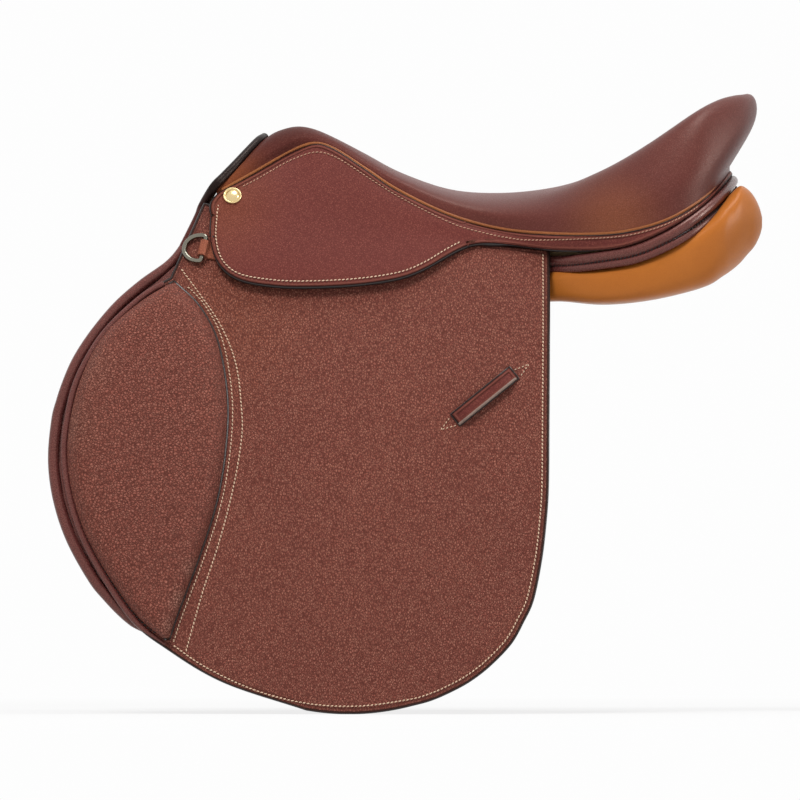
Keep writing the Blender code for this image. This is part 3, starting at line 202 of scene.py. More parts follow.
def declare(piece, body, slot, *nodes):
    """A piece's body and the CAD nodes that it stands for; slot is not used."""
    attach(piece, body)
    if nodes:
        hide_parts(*nodes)


def grid_quads(rows, columns, start=0):
    i, j = np.meshgrid(np.arange(rows - 1), np.arange(columns - 1), indexing="ij")
    a = (start + i * columns + j).ravel()
    return np.stack([a, a + 1, a + 1 + columns, a + columns], 1).tolist()


def ring_faces(rings, sides, closed=False):
    """Faces that join rings of points, and two ends unless the last ring meets the first."""
    a = np.arange(rings * sides).reshape(rings, sides)
    b = np.roll(a, -1, 0) if closed else a[1:]
    a = a[:len(b)]
    quads = np.stack([a, np.roll(a, -1, 1), np.roll(b, -1, 1), b], -1).reshape(-1, 4).tolist()
    ends = [list(range(sides)), list(range((rings - 1) * sides, rings * sides))]
    return quads if closed else quads + ends


def sheet(name, outer, inner, face, uv=None, rim=0.9, plain_sides=(), under="under"):
    """Leather between two grids with a rounded rim; face and under are the looks of both.
    plain_sides are sides of the grid that end square, where more leather carries on."""
    rows, columns = outer.shape[:2]
    size = rows * columns
    index = np.arange(size).reshape(rows, columns)
    loop = np.concatenate([index[0, :-1], index[:-1, -1], index[-1, :0:-1], index[:0:-1, 0]])
    flat = outer.reshape(-1, 3)
    back = inner.reshape(-1, 3)
    along = unit(np.roll(flat[loop], -1, 0) - np.roll(flat[loop], 1, 0))
    away = unit(np.cross(along, flat[loop] - back[loop]))
    middle = outer[rows // 2, columns // 2]
    flip = np.sign(((flat[loop] - middle) * away).sum(1).mean())
    centre = (flat[loop] + back[loop]) / 2
    cut = np.concatenate([np.full(n - 1, key in plain_sides) for key, n in
                          zip(("top", "right", "bottom", "left"), (columns, rows) * 2)])
    swell = np.where(cut, 0.0, rim)[:, None]
    rings = [centre + (flat[loop] - centre) * math.cos(a) + flip * away * swell * math.sin(a)
             for a in np.linspace(0, math.pi, 7)[1:-1]]
    verts = np.vstack([flat, back] + rings)
    faces = grid_quads(rows, columns) + grid_quads(rows, columns, size)
    kinds = [0] * (len(faces) // 2) + [2] * (len(faces) // 2)
    chain = [2 * size + k * len(loop) + np.arange(len(loop)) for k in range(len(rings))]
    chain = [loop] + chain + [loop + size]
    for one, other in zip(chain, chain[1:]):
        faces += np.stack([one, np.roll(one, -1), np.roll(other, -1), other], 1)[~cut].tolist()
    if cut.any():
        nexts = np.roll(loop, -1)
        ends = np.stack([flat[loop], flat[nexts], back[nexts], back[loop]], 1)[cut]
        faces += (len(verts) + np.arange(4 * len(ends))).reshape(-1, 4).tolist()
        verts = np.vstack([verts, ends.reshape(-1, 3)])
    kinds += [1] * (len(faces) - len(kinds))
    near = np.full(size, 1e9)
    bare = loop[~cut]
    for k in range(0, len(bare), 64):
        part = flat[bare[k:k + 64]]
        near = np.minimum(near, np.linalg.norm(flat[:, None] - part[None], axis=2).min(1))
    edge = np.concatenate([near, near, np.zeros(len(verts) - 2 * size)])
    flat_uv = (outer[..., [0, 2]] if uv is None else uv).reshape(-1, 2)
    uvs = np.vstack([flat_uv, flat_uv] + [flat_uv[loop]] * len(rings))
    uvs = np.vstack([uvs, np.zeros((len(verts) - len(uvs), 2))])
    return new_object(name, verts, faces, (face, "rim", under), kinds, uvs, edge)


def tube(name, path, radius, mat, sides=20, closed=False, up=(0, 0, 1)):
    """Round roll along a path; radius is one number or one for each point."""
    path = np.asarray(path, float)
    count = len(path)
    radius = np.broadcast_to(radius, (count,))
    if closed:
        along = unit(np.roll(path, -1, 0) - np.roll(path, 1, 0))
    else:
        along = unit(np.gradient(path, axis=0))
    rise = np.array(up, float)
    turns = np.linspace(0, 2 * math.pi, sides, endpoint=False)
    rings = []
    for i in range(count):
        rise = unit(rise - rise.dot(along[i]) * along[i])
        across = np.cross(along[i], rise)
        ring = np.cos(turns)[:, None] * rise + np.sin(turns)[:, None] * across
        rings.append(path[i] + radius[i] * ring)
    uvs = np.stack(np.meshgrid(reach_of(path), turns * radius.mean(), indexing="ij"), -1)
    return new_object(name, np.vstack(rings), ring_faces(count, sides, closed), mat,
                      uvs=uvs.reshape(-1, 2))


def stitches(name, path, square, mat, pitch=2.9, long=2.15, thick=0.5, slant=0.25, stand=0.35):
    """Row of sewn stitches: short threads that dip into the leather at both ends."""
    count = max(2, int(reach_of(path)[-1] / pitch))
    path, square = resample(path, count), unit(resample(square, count))
    along = unit(np.gradient(path, axis=0))
    across = np.cross(square, along)
    lie = unit(along + slant * across)
    over = np.cross(square, lie)
    profile = ((-0.5, 0.35, -0.35), (-0.3, 0.9, 0.0), (0.0, 1.0, 0.12), (0.3, 0.9, 0.0),
               (0.5, 0.35, -0.35))
    sides = 6
    turns = np.linspace(0, 2 * math.pi, sides, endpoint=False)
    verts = []
    for reach, wide, rise in profile:
        base = path + lie * reach * long + square * (stand + rise * thick)
        for a in turns:
            verts.append(base + (over * math.cos(a) + square * math.sin(a)) * wide * thick)
    verts = np.stack(verts, 1).reshape(-1, 3)
    each = len(profile) * sides
    faces = [[v + i * each for v in face] for i in range(count)
             for face in ring_faces(len(profile), sides)]
    return new_object(name, verts, faces, mat)


def side_stitches(name, line, side, out=0.0, kind="flap", mat="thread", **sizes):
    """Stitches along x and z places of the flap or skirt, out off the flap's face."""
    line = np.asarray(line, float)
    stand = out(line[:, 0], line[:, 1]) if callable(out) else out
    made = stitches(name, at_side(line, stand, side),
                    side_normal(line[:, 0], line[:, 1], side), mat, **sizes)
    bend(made, kind, side)


def bend(piece, kind, side, *nodes):
    """Bakes a piece's place into its mesh and hides the CAD nodes that it stands for."""
    x, start = (-51, 0) if kind == "flap" else (-66, SKIRT_LINE)
    middle = on_side(x, height(x, start + 1.0), 0, side)
    down = on_side(x, height(x, start + 7.0), 0, side)
    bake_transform(piece)
    if nodes:
        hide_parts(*nodes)


def inset(line, distance):
    """Line of x and z places moved sideways; positive is to the right of its direction."""
    line = np.asarray(line, float)
    along = unit(np.gradient(line, axis=0))
    return line + distance * np.stack([along[:, 1], -along[:, 0]], 1)


# Materials

class Shader:
    """Small helper for the nodes of a material or the world."""

    def __init__(self, name, kind="materials"):
        self.owner = getattr(bpy.data, kind).new(name)
        self.owner.use_nodes = True
        self.tree = self.owner.node_tree
        self.main = self.tree.nodes[
            "Principled BSDF" if kind == "materials" else "Background"]

    def node(self, kind, **values):
        made = self.tree.nodes.new("ShaderNode" + kind)
        for key, value in values.items():
            setattr(made, key, value)
        return made

    def link(self, source, target):
        self.tree.links.new(source, target)

    def put(self, socket, value):
        if isinstance(value, bpy.types.NodeSocket):
            self.link(value, socket)
        else:
            socket.default_value = value

    def fill(self, made, **values):
        for key, value in values.items():
            self.put(made.inputs[key.replace("_", " ")], value)

    def math(self, operation, a, b):
        made = self.node("Math", operation=operation)
        self.put(made.inputs[0], a)
        self.put(made.inputs[1], b)
        return made.outputs[0]

    def ramp(self, value, low, high, out_low=0.0, out_high=1.0):
        made = self.node("MapRange", interpolation_type="SMOOTHSTEP")
        for socket, v in zip(made.inputs, (value, low, high, out_low, out_high)):
            self.put(socket, v)
        return made.outputs[0]

    def times(self, a, b):
        return self.math("MULTIPLY", a, b)

    def mix(self, factor, a, b):
        made = self.node("Mix", data_type="RGBA")
        self.put(made.inputs["Factor"], factor)
        for key, value in ((6, a), (7, b)):
            self.put(made.inputs[key], value if isinstance(value, bpy.types.NodeSocket)
                     else (*value[:3], 1.0))
        return made.outputs[2]

    def coords(self, scale=(1, 1, 1), unrolled=False):
        if unrolled:
            source = self.node("UVMap", uv_map="Leather").outputs[0]
        else:
            source = self.node("TexCoord").outputs["Object"]
        mapping = self.node("Mapping")
        self.fill(mapping, Scale=scale, Vector=source)
        return mapping.outputs[0]

    def noise(self, vector, scale, detail=2.0, rough=0.5):
        made = self.node("TexNoise")
        self.fill(made, Vector=vector, Scale=scale, Detail=detail, Roughness=rough)
        return made.outputs["Fac"]

    def grains(self, vector, scale, feature):
        """Outputs for grains, such as the way to the middle or the rim of the nearest."""
        made = self.node("TexVoronoi", feature=feature)
        self.fill(made, Vector=vector, Scale=scale)
        return made.outputs

    def patch(self, middle, radius):
        """1 at a place of the side view, falling to 0 at the radius."""
        made = self.node("VectorMath", operation="DISTANCE")
        self.link(self.coords((1, 0, 1)), made.inputs[0])
        made.inputs[1].default_value = (middle[0], 0, middle[1])
        return self.ramp(made.outputs["Value"], radius, 0.0)

    def bump(self, height_value, strength, distance, below=None):
        made = self.node("Bump")
        self.fill(made, Strength=strength, Distance=distance, Height=height_value)
        if below is not None:
            self.link(below, made.inputs["Normal"])
        return made.outputs["Normal"]

    def set(self, **values):
        self.fill(self.main, **values)


def leather(name, color, deep, fleck, grain, share, rough, bump, blotch=0.5, stretch=None,
            edge=0.0, groove=0.0, bead=False, patches=(), pits=0.5, gloss=0.16, mottle=0.3):
    """Leather: grains with paler tops, slow colour drift, black edges that darken a little further
    in, and a pressed hem.
    share is how far the grains' tops turn to the fleck colour, pits and mottle how far the
    hollows darken. A patch is its place, radius, amount and colour; most patches are painted
    highlights or painted shade."""
    s = Shader(name)
    at = s.coords(stretch or (1, 1, 1), bool(stretch))
    even = s.coords(unrolled=bool(stretch))
    nearest = s.grains(at, grain, "F1")
    cells = s.grains(at, grain, "DISTANCE_TO_EDGE")["Distance"]
    fine = s.noise(at, grain * 1.5, 2.0, 0.6)
    drift = s.noise(even, 12.0, 3.0, 0.55)
    patchy = s.noise(even, 85.0, 4.0, 0.65)
    low = tuple(0.42 * c for c in deep)
    tone = s.mix(s.ramp(drift, 0.3, 0.7, 0.0, blotch), color, deep)
    tone = s.mix(s.ramp(patchy, 0.35, 0.7, 0.0, 0.5 * blotch), tone, deep)
    for middle, radius, amount, warm in patches:
        tone = s.mix(s.times(s.patch(middle, radius), amount), tone, warm)
    tone = s.mix(s.ramp(fine, 0.62, 0.36, 0.0, mottle), tone, low)
    tops = s.times(s.ramp(nearest["Distance"], 0.66, 0.05),
                   s.ramp(nearest["Color"], 0.15, 0.65, 0.2))
    tops = s.times(tops, s.ramp(fine, 0.36, 0.62, 0.35))
    tone = s.mix(s.times(tops, share), tone, fleck)
    tone = s.mix(s.ramp(cells, 0.18, 0.0, 0.0, pits), tone, low)
    relief = s.math("ADD", s.times(s.ramp(cells, 0.0, 0.35), 0.7), s.times(fine, 0.5))
    normal = s.bump(relief, bump, 0.25 / grain)
    if edge:
        near = s.node("Attribute", attribute_name="edge").outputs["Fac"]
        wobble = s.math("ADD", near, s.times(s.noise(even, 260.0), 0.5))
        if groove:
            line = s.times(s.ramp(near, groove - 0.9, groove - 0.2),
                           s.ramp(near, groove + 1.1, groove + 0.2))
            tone = s.mix(s.times(line, 0.7), tone, low)
            normal = s.bump(s.math("SUBTRACT", 1.0, line), 0.6, 0.0006, normal)
        if bead:
            lift = s.times(s.ramp(near, 0.2, 1.9), s.ramp(near, 3.8, 2.1))
            # Paler colour along the bead: a painted highlight on its raised top.
            tone = s.mix(s.times(lift, 0.35), tone, fleck)
            normal = s.bump(lift, 1.0, 0.0016, normal)
        tone = s.mix(s.ramp(wobble, edge + 0.75, edge + 0.25), tone, BLACK_EDGE)
        tone = s.mix(s.ramp(wobble, 9.0, 1.0, 0.0, 0.22), tone, low)
    s.set(Base_Color=tone, Roughness=s.ramp(fine, 0.2, 0.8, rough - 0.07, rough + 0.10))
    if isinstance(gloss, tuple):
        along = s.node("SeparateXYZ")
        s.link(even, along.inputs[0])
        gloss = s.ramp(along.outputs[0], -0.10, 0.03, *gloss)
    s.set(Normal=normal, Specular_IOR_Level=gloss, Specular_Tint=(1.0, 0.74, 0.62, 1.0))
    return s.owner


def plain(name, color, rough, metallic, noise_scale, vary, bump):
    """Surface with a little variation in colour, gloss and height."""
    s = Shader(name)
    at = s.coords()
    grain = s.noise(at, noise_scale, 4.0, 0.6)
    dark = tuple(c * (1 - vary) for c in color)
    s.set(Base_Color=s.mix(s.ramp(grain, 0.3, 0.7), dark, color), Metallic=metallic)
    s.set(Roughness=s.ramp(s.noise(at, noise_scale / 6, 3.0), 0.3, 0.7, rough - 0.08, rough + 0.08))
    s.set(Normal=s.bump(grain, bump, 0.0002))
    return s.owner


LEATHERS = {
    "flap": dict(
        color=(0.252, 0.076, 0.054), deep=(0.192, 0.056, 0.042), fleck=(0.37, 0.16, 0.112),
        grain=680.0, share=0.85, rough=0.50, bump=1.0, blotch=0.6, stretch=(1.1, 0.75, 1),
        edge=1.1, groove=3.1, pits=0.9, mottle=0.85,
        patches=[((-0.150, -0.045), 0.085, 0.5, (0.26, 0.080, 0.04))]),
    "skirt": dict(
        color=(0.144, 0.037, 0.031), deep=(0.115, 0.030, 0.026), fleck=(0.30, 0.10, 0.07),
        grain=760.0, share=0.4, rough=0.46, bump=0.30, blotch=0.4, stretch=(1, 1, 1),
        edge=0.5, bead=True, pits=0.3, gloss=0.08,
        # The patch is a painted highlight at the skirt's front, next to the seat's front highlight.
        patches=[((-0.155, 0.045), 0.060, 0.55, (0.20, 0.060, 0.030))]),
    "pad": dict(
        color=(0.278, 0.087, 0.062), deep=(0.208, 0.065, 0.049), fleck=(0.36, 0.165, 0.12),
        # edge=0.9 turns the pad's border black: painted shade for the gap beside the flap.
        grain=500.0, share=0.5, rough=0.46, bump=1.0, edge=0.9, pits=1.0, gloss=0.1, mottle=0.9,
        # Patches: painted highlights, a pale band on the pad's upper left and a streak along its
        # right side.
        patches=[((-0.266, -0.118), 0.034, 0.45, (0.33, 0.17, 0.12)),
                 ((-0.248, -0.075), 0.030, 0.35, (0.33, 0.17, 0.12)),
                 ((-0.187, -0.266), 0.014, 0.5, (0.46, 0.28, 0.21)),
                 ((-0.181, -0.247), 0.014, 0.5, (0.46, 0.28, 0.21)),
                 ((-0.173, -0.224), 0.012, 0.4, (0.46, 0.28, 0.21))]),
    "seat": dict(
        color=(0.106, 0.028, 0.023), deep=(0.084, 0.022, 0.018), fleck=(0.20, 0.08, 0.06),
        grain=800.0, share=0.3, rough=0.38, bump=0.22, pits=0.25, gloss=(0.02, 0.22), mottle=0.15,
        # Patches: a painted highlight at the seat's front corner, a painted warm highlight above
        # the piping at the cantle, and painted shade over the pommel.
        patches=[((-0.150, 0.062), 0.045, 0.75, (0.21, 0.060, 0.020)),
                 ((0.135, 0.026), 0.050, 0.5, (0.26, 0.085, 0.035)),
                 ((-0.110, 0.102), 0.050, 0.8, (0.056, 0.017, 0.014))]),
    "plum": dict(
        color=(0.130, 0.034, 0.030), deep=(0.088, 0.024, 0.022), fleck=(0.28, 0.11, 0.085),
        grain=800.0, share=0.22, rough=0.25, bump=0.25, gloss=0.5, mottle=0.2),
    "facing": dict(
        color=(0.012, 0.007, 0.007), deep=(0.007, 0.004, 0.004), fleck=(0.03, 0.02, 0.018),
        grain=900.0, share=0.2, rough=0.35, bump=0.25,
        patches=[((-0.176, 0.020), 0.040, 1.0, (0.110, 0.028, 0.024))]),
    "tan": dict(
        color=(0.420, 0.133, 0.022), deep=(0.360, 0.108, 0.019), fleck=(0.52, 0.19, 0.045),
        grain=1300.0, share=0.2, rough=0.36, bump=0.10, pits=0.15, gloss=0.22, mottle=0.05),
    "piping": dict(
        color=(0.31, 0.105, 0.035), deep=(0.22, 0.074, 0.027), fleck=(0.45, 0.20, 0.09),
        grain=1300.0, share=0.3, rough=0.36, bump=0.15, blotch=0.7, pits=0.2, gloss=0.2),
    "under": dict(
        color=(0.120, 0.042, 0.028), deep=(0.080, 0.028, 0.020), fleck=(0.20, 0.09, 0.06),
        grain=700.0, share=0.3, rough=0.62, bump=0.4),
    "tab": dict(
        color=(0.330, 0.105, 0.060), deep=(0.250, 0.075, 0.045), fleck=(0.45, 0.18, 0.10),
        grain=700.0, share=0.3, rough=0.45, bump=0.3),
}
MATS = {key: leather(f"{key}_leather_look", **look) for key, look in LEATHERS.items()}
MATS |= {
    # Pale look of the keeper's strip, a painted highlight on the strap's lower bevel.
    "fold": plain("keeper_highlight_look", (0.21, 0.145, 0.115), 0.5, 0.0, 500.0, 0.3, 0.3),
    # Black edge look: the real black edges of flaps and skirts, and painted shade on the pad's rim
    # and under the keeper.
    "rim": plain("black_edge_and_painted_shade", BLACK_EDGE, 0.34, 0.0, 500.0, 0.4, 0.3),
    "thread": plain("cream_thread", (0.68, 0.48, 0.33), 0.7, 0.0, 2500.0, 0.15, 0.5),
    "seam_thread": plain("tan_thread", (0.46, 0.26, 0.17), 0.7, 0.0, 2500.0, 0.15, 0.5),
    "dark_thread": plain("dark_thread", (0.016, 0.009, 0.008), 0.6, 0.0, 2500.0, 0.25, 0.5),
    "brass": plain("brass_look", (0.78, 0.60, 0.31), 0.30, 1.0, 60.0, 0.06, 0.02),
    "steel": plain("steel_look", (0.22, 0.205, 0.165), 0.24, 1.0, 60.0, 0.12, 0.02),
    "wood": plain("tree_wood_look", (0.50, 0.33, 0.17), 0.6, 0.0, 60.0, 0.3, 0.3),
    "web": plain("webbing_look", (0.52, 0.46, 0.35), 0.9, 0.0, 1200.0, 0.3, 0.8),
}

# Seat

SEAM_SIDE = [(-156, 53), (-130, 67.5), (-102, 83.4), (-85, 89), (-69, 84.7), (-45, 69.5),
             (-22, 54.4), (15, 36.7), (52, 26.4)]
SEAM_REAR = [(90, 91, 22.7), (127, 107, 22.6), (150, 112.5, 25.8), (172, 111, 32.5),
             (190, 102.5, 42), (205, 86, 53), (213.5, 62, 62), (218.5, 30, 68.5), (220, 0, 70.5)]
RIBS = [
    [(-147, 44, 63), (-136, 31, 75), (-126, 16, 86.5), (-120.5, 0, 91)],
    [(-127, 40, 76), (-122, 30, 86), (-115, 15.5, 94), (-112, 0, 96.3)],
    [(-101, 32, 90), (-100, 23, 95.5), (-99, 12, 99), (-98, 0, 100)],
    [(-85, 25.5, 92.8), (-85, 18.5, 95.8), (-85, 10, 97.6), (-85, 0, 98.3)],
    [(-69, 28.5, 88.2), (-69, 20.5, 90.2), (-69, 11, 91.1), (-69, 0, 91.3)],
    [(-45, 40, 73.7), (-45, 29, 76.8), (-45, 15, 78.3), (-45, 0, 78.8)],
    [(-22, 51, 60.5), (-22, 37, 64.2), (-22, 18, 66), (-22, 0, 66.5)],
    [(15, 63, 45), (15, 46, 50.5), (15, 23, 53), (15, 0, 53.8)],
    [(52, 73, 36.5), (52, 55, 45), (52, 28, 50), (52, 0, 51.2)],
    [(90, 86, 37), (90, 66, 50), (90, 36, 54.6), (88, 0, 54.5)],
    [(127, 103, 42), (127, 80, 66.5), (124, 48, 65), (118, 0, 61)],
    [(151, 108, 48), (151, 82, 80), (144, 48, 74), (135, 0, 67)],
    [(175, 105, 58), (175, 78, 97), (163, 45, 82), (149, 0, 73)],
    [(196, 94, 72), (196, 68, 112), (178, 38, 90), (159, 0, 78)],
    [(215, 74, 86), (212, 49, 121), (188, 26, 96), (166, 0, 81.5)],
    [(230, 50, 97), (224, 31, 124.4), (194, 15, 99), (169, 0, 83)],
    [(238, 24, 103.5), (231, 14, 125.2), (196, 7, 100.5), (170.5, 0, 83.8)],
    [(240, 0, 106.5), (232.5, 0, 125.4), (197, 0, 101), (171, 0, 84)],
]
SEAT_U = 17.0
seam_points = [tuple(p) for p in on_side([p[0] for p in SEAM_SIDE], [p[1] for p in SEAM_SIDE],
                                         4.0, 1)] + SEAM_REAR
STATIONS = np.array([[seam_points[i]] + RIBS[i] for i in range(18)], float)


def seat_points(u, v):
    """Right half of the seat: v runs from the seam to the centre line."""
    u, v = (np.asarray(a, float) for a in np.broadcast_arrays(u, v))
    mirror = STATIONS[-2:-1] * MIRROR
    chain = np.concatenate([2 * STATIONS[:1] - STATIONS[1:2], STATIONS, mirror])
    i = np.minimum(u.astype(int), 16)
    t = (u - i)[..., None, None]
    rib = catmull(chain[i], chain[i + 1], chain[i + 2], chain[i + 3], t)
    beyond = rib[..., -2:-1, :] * MIRROR
    rib = np.concatenate([2 * rib[..., :1, :] - rib[..., 1:2, :], rib, beyond], axis=-2)
    k = np.minimum((v * 4).astype(int), 3)
    t = (v * 4 - k)[..., None]
    pick = [np.take_along_axis(rib, (k + n)[..., None, None], -2)[..., 0, :] for n in range(4)]
    return catmull(*pick, t)


def seat_square(u, v):
    """Way straight out of the seat's cover."""
    u, v = np.broadcast_arrays(np.asarray(u, float), np.asarray(v, float))
    a, b = np.clip(u, 0.02, SEAT_U - 0.12), np.clip(v, 0.02, 0.96)
    along_u = seat_points(a + 0.02, b) - seat_points(a - 0.02, b)
    along_v = seat_points(a, b + 0.02) - seat_points(a, b - 0.02)
    square = np.cross(along_v, along_u)
    square[..., 1] = np.where((v == 1) | (u == SEAT_U), 0, square[..., 1])
    return unit(square)


def seam_frame(u):
    """Places on the seam, the way on from the seat's edge, and the way out of the seat."""
    here, square = seat_points(u, 0), seat_square(u, 0)
    a = np.clip(u, 0.02, SEAT_U - 0.02)
    onward = np.cross(square, seat_points(a + 0.02, 0) - seat_points(a - 0.02, 0))
    flip = np.sign((onward * (here - seat_points(u, 0.03))).sum(-1))
    onward = onward * flip[..., None]
    onward[..., 1] = np.where(u == SEAT_U, 0, onward[..., 1])
    return here, unit(onward), square


def seam_reader(count, first=0.0, last=SEAT_U):
    """Places u spread evenly along the seam."""
    fine = np.linspace(first, last, 600)
    reach = reach_of(seat_points(fine, 0))
    return np.interp(np.linspace(0, reach[-1], count), reach, fine)


def under_seat(u, v):
    """The foam's underside; v runs from the rim to the middle."""
    rim, middle = seat_points(u, 0), seat_points(u, 1)
    low = rim - (0, 0, 8.0)
    dish = np.maximum(0, middle[..., 2] - 9 - low[..., 2])
    z = low[..., 2] + (1 - ease((u - 1) / 4)) * dish - ease((u - 10) / 7) * 16
    centre = np.stack([middle[..., 0], np.zeros_like(z), z], -1)
    return low + (centre - low) * np.asarray(v)[..., None]


def relax(verts, faces, fixed, times):
    """Moves each free point half the way to the mean of its neighbours."""
    pairs = np.array([(a, b) for f in faces for a, b in zip(f, f[1:] + f[:1])])
    pairs = np.unique(np.vstack([pairs, pairs[:, ::-1]]), axis=0)
    count = np.bincount(pairs[:, 0], minlength=len(verts))[:, None]
    for _ in range(times):
        total = np.zeros_like(verts)
        np.add.at(total, pairs[:, 0], verts[pairs[:, 1]])
        moved = 0.5 * verts + 0.5 * total / np.maximum(count, 1)
        verts = np.where(fixed[:, None], verts, moved)
    return verts


def weld(parts):
    """Joins grids of points whose borders meet into one list of points and faces."""
    verts, faces = [], []
    for grid in parts:
        faces += [[v + len(verts) for v in f] for f in grid_quads(*grid.shape[:2])]
        verts += grid.reshape(-1, 3).tolist()
    verts = np.array(verts)
    _, first, back = np.unique(np.round(verts, 3), axis=0, return_index=True,
                               return_inverse=True)
    back = back.ravel()
    welded = [list(dict.fromkeys(back[face].tolist())) for face in faces]
    return verts[first], [ids for ids in welded if len(ids) > 2]


def make_seat():
    us = seam_reader(170)
    vs = np.linspace(0, 1, 30)
    U, V = np.meshgrid(us, vs, indexing="ij")
    top = seat_points(U, V)
    left = top * MIRROR
    verts, faces = weld([left, top])
    border = np.zeros(len(verts), bool)
    seam = np.vstack([top[:, 0], left[:, 0], top[0], left[0]])
    for p in seam:
        border |= np.linalg.norm(verts - p, axis=1) < 0.01
    verts = relax(verts, faces, border, 10)
    size = len(verts)
    low = under_seat(U, V)
    low_verts, low_faces = weld([low * MIRROR, low])
    verts = np.vstack([verts, low_verts])
    faces = faces + [[v + size for v in f] for f in low_faces]
    kinds = [0] * (len(faces) - len(low_faces)) + [1] * len(low_faces)
    find = {tuple(np.round(p, 2)): i for i, p in enumerate(verts[:size]) if border[i]}
    find_low = {tuple(np.round(p, 2)): i + size for i, p in enumerate(low_verts)}

    def ids(line, table):
        return [table.get(tuple(np.round(p, 2))) for p in line]

    for sign in (1, -1):
        flip = (1, sign, 1)
        for high, deep in ((top[:, 0], low[:, 0]), (top[0], low[0])):
            a, b = ids(high * flip, find), ids(deep * flip, find_low)
            for k in range(len(a) - 1):
                four = [a[k], a[k + 1], b[k + 1], b[k]]
                if None not in four and len(set(four)) == 4:
                    faces.append(four)
                    kinds.append(0)
    seat = new_object("seat", verts, faces, ["seat", "under"], kinds)
    declare(seat, "saddle", "seat_leather", "seat_cover", "seat_foam")
    u = seam_reader(420, 0.10)
    here, onward, square = seam_frame(u)
    path = here + onward * 1.75 - square * 0.72
    path[-1, 1] = 0
    path = resample(both_sides(path), 700)
    piping = tube("piping", path, 1.25, "piping", sides=10)
    declare(piping, "saddle", "tan_leather", "seat_piping")


# Skirts

SKIRT_LINE = -47.0
SKIRT_SPLIT = 27.3
SKIRT_ROWS, STRIP_COLUMNS = 26, 180
NAIL_PLACE = (-144.5, 48.3)
SKIRT_EDGE = [(-160, 34), (-160.5, 16), (-155, -1), (-141, -12.4), (-116, -17.2), (-90, -18.2),
              (-53, -16.4), (-22, -11.7), (-3, -4.4), (15, 6.2), (27.3, 12.5)]
STRIP_EDGE_REAR = [(90, 91.5, 8.8), (127, 109, 8.8), (150, 116, 13.5), (172, 115, 23),
                   (190, 106.5, 34), (205, 89.5, 46), (214.5, 65, 56), (220.5, 31, 63),
                   (222, 0.0, 65)]


def skirt_stand(x, z):
    """How far the skirt's face stands off the flap's."""
    return 3.6 + 4.4 * ease((drop(x, z) + 53) / 48)


def split_rib():
    fine = np.linspace(4, 10, 4000)
    return float(np.interp(SKIRT_SPLIT, seat_points(fine, 0)[:, 0], fine))


def under_piping(u):
    """Where the skirt starts, below the piping."""
    here, onward, square = seam_frame(u)
    return here + onward * 3.1 + square * 0.35


def cover(high, low, rows, bulge):
    """Rows of points from one line to another, lifted a little in the middle."""
    t = np.linspace(0, 1, rows)[:, None, None]
    grid = high[None] * (1 - t) + low[None] * t
    normals = grid_normals(grid)
    normals *= np.sign((normals * (grid - (0, 0, -40))).sum(-1, keepdims=True))
    return grid + normals * bulge * np.sin(math.pi * t)


def soften_skirt(front, split):
    """The front part carried on by the strip round the cantle, as one smooth surface."""
    u = np.linspace(split, SEAT_U, STRIP_COLUMNS)
    high = under_piping(u)
    high[-1, 1] = 0
    start = np.array([[SKIRT_SPLIT, 12.5], [34, 13.7], [52, 13.5]])
    start = on_side(start[:, 0], start[:, 1], skirt_stand(start[:, 0], start[:, 1]), 1)
    low = curve(np.vstack([start, STRIP_EDGE_REAR]), STRIP_COLUMNS)
    low[-1, 1] = 0
    rows = front.shape[0]
    rear = cover(high, low, rows, 0.8)
    last = front[:, -1]
    even = last[:1] + (last[-1:] - last[:1]) * np.linspace(0, 1, rows)[:, None]
    fade = (1 - ease(np.arange(STRIP_COLUMNS) / 40))[None, :, None]
    rear = rear + fade * (last - even)[:, None]
    rear[:, 0] = last
    whole = soften(np.concatenate([front, rear[:, 1:]], 1), 40)
    soften_line(whole[-1], 30)
    soften_line(whole[:, :10], 120)
    whole[:, -1, 1] = 0
    normals = grid_normals(whole)
    normals *= np.sign((normals * unit(whole - (20, 0, 0))).sum(-1).mean())
    return whole, normals


def below_seam(whole, normals, way):
    """Line on the skirt that runs a given way below the seat's seam."""
    steps = np.linalg.norm(np.diff(whole, axis=0), axis=2)
    along = np.vstack([np.zeros(whole.shape[1]), np.cumsum(steps, 0)])
    line, out = [], []
    for j in range(whole.shape[1] - 1):
        want = min(way - 2.2 * ease((whole[0, j, 0] + 20) / 150), 0.5 * along[-1, j])
        t = np.interp(want, along[:, j], np.arange(whole.shape[0]))
        i = min(int(t), whole.shape[0] - 2)
        f = t - i
        line.append(whole[i, j] * (1 - f) + whole[i + 1, j] * f)
        out.append(normals[i, j])
    return np.array(line), unit(np.array(out))


def lathe(name, centre, out, profile, mat, sides=48):
    """Solid of revolution; profile lists radius and height."""
    across = unit(np.cross(out, (1.0, 0.0, 0.0)))
    over = np.cross(out, across)
    turns = np.linspace(0, 2 * math.pi, sides, endpoint=False)[:, None]
    wheel = np.cos(turns) * across + np.sin(turns) * over
    verts = np.vstack([centre + out * h + wheel * r for r, h in profile])
    return new_object(name, verts, ring_faces(len(profile), sides), mat)


def make_nail(whole, normals, flip, suffix):
    """Brass nail with a plain rim and a low crown."""
    away = np.linalg.norm(whole[..., [0, 2]] - NAIL_PLACE, axis=2)
    i, j = np.unravel_index(away.argmin(), away.shape)
    profile = [(6.0, -1.2), (6.7, 0.0), (6.9, 0.5), (6.7, 1.1), (6.2, 1.4), (5.6, 1.2), (5.3, 0.4),
               (5.0, 0.4), (4.4, 1.3), (3.2, 1.8), (2.0, 2.1), (0.9, 2.25), (0.15, 2.3)]
    nail = lathe(f"nail_{suffix}", whole[i, j] * flip, normals[i, j] * flip, profile,
                 "brass")
    declare(nail, "saddle", "nail_brass", f"saddle_nail_{suffix}")


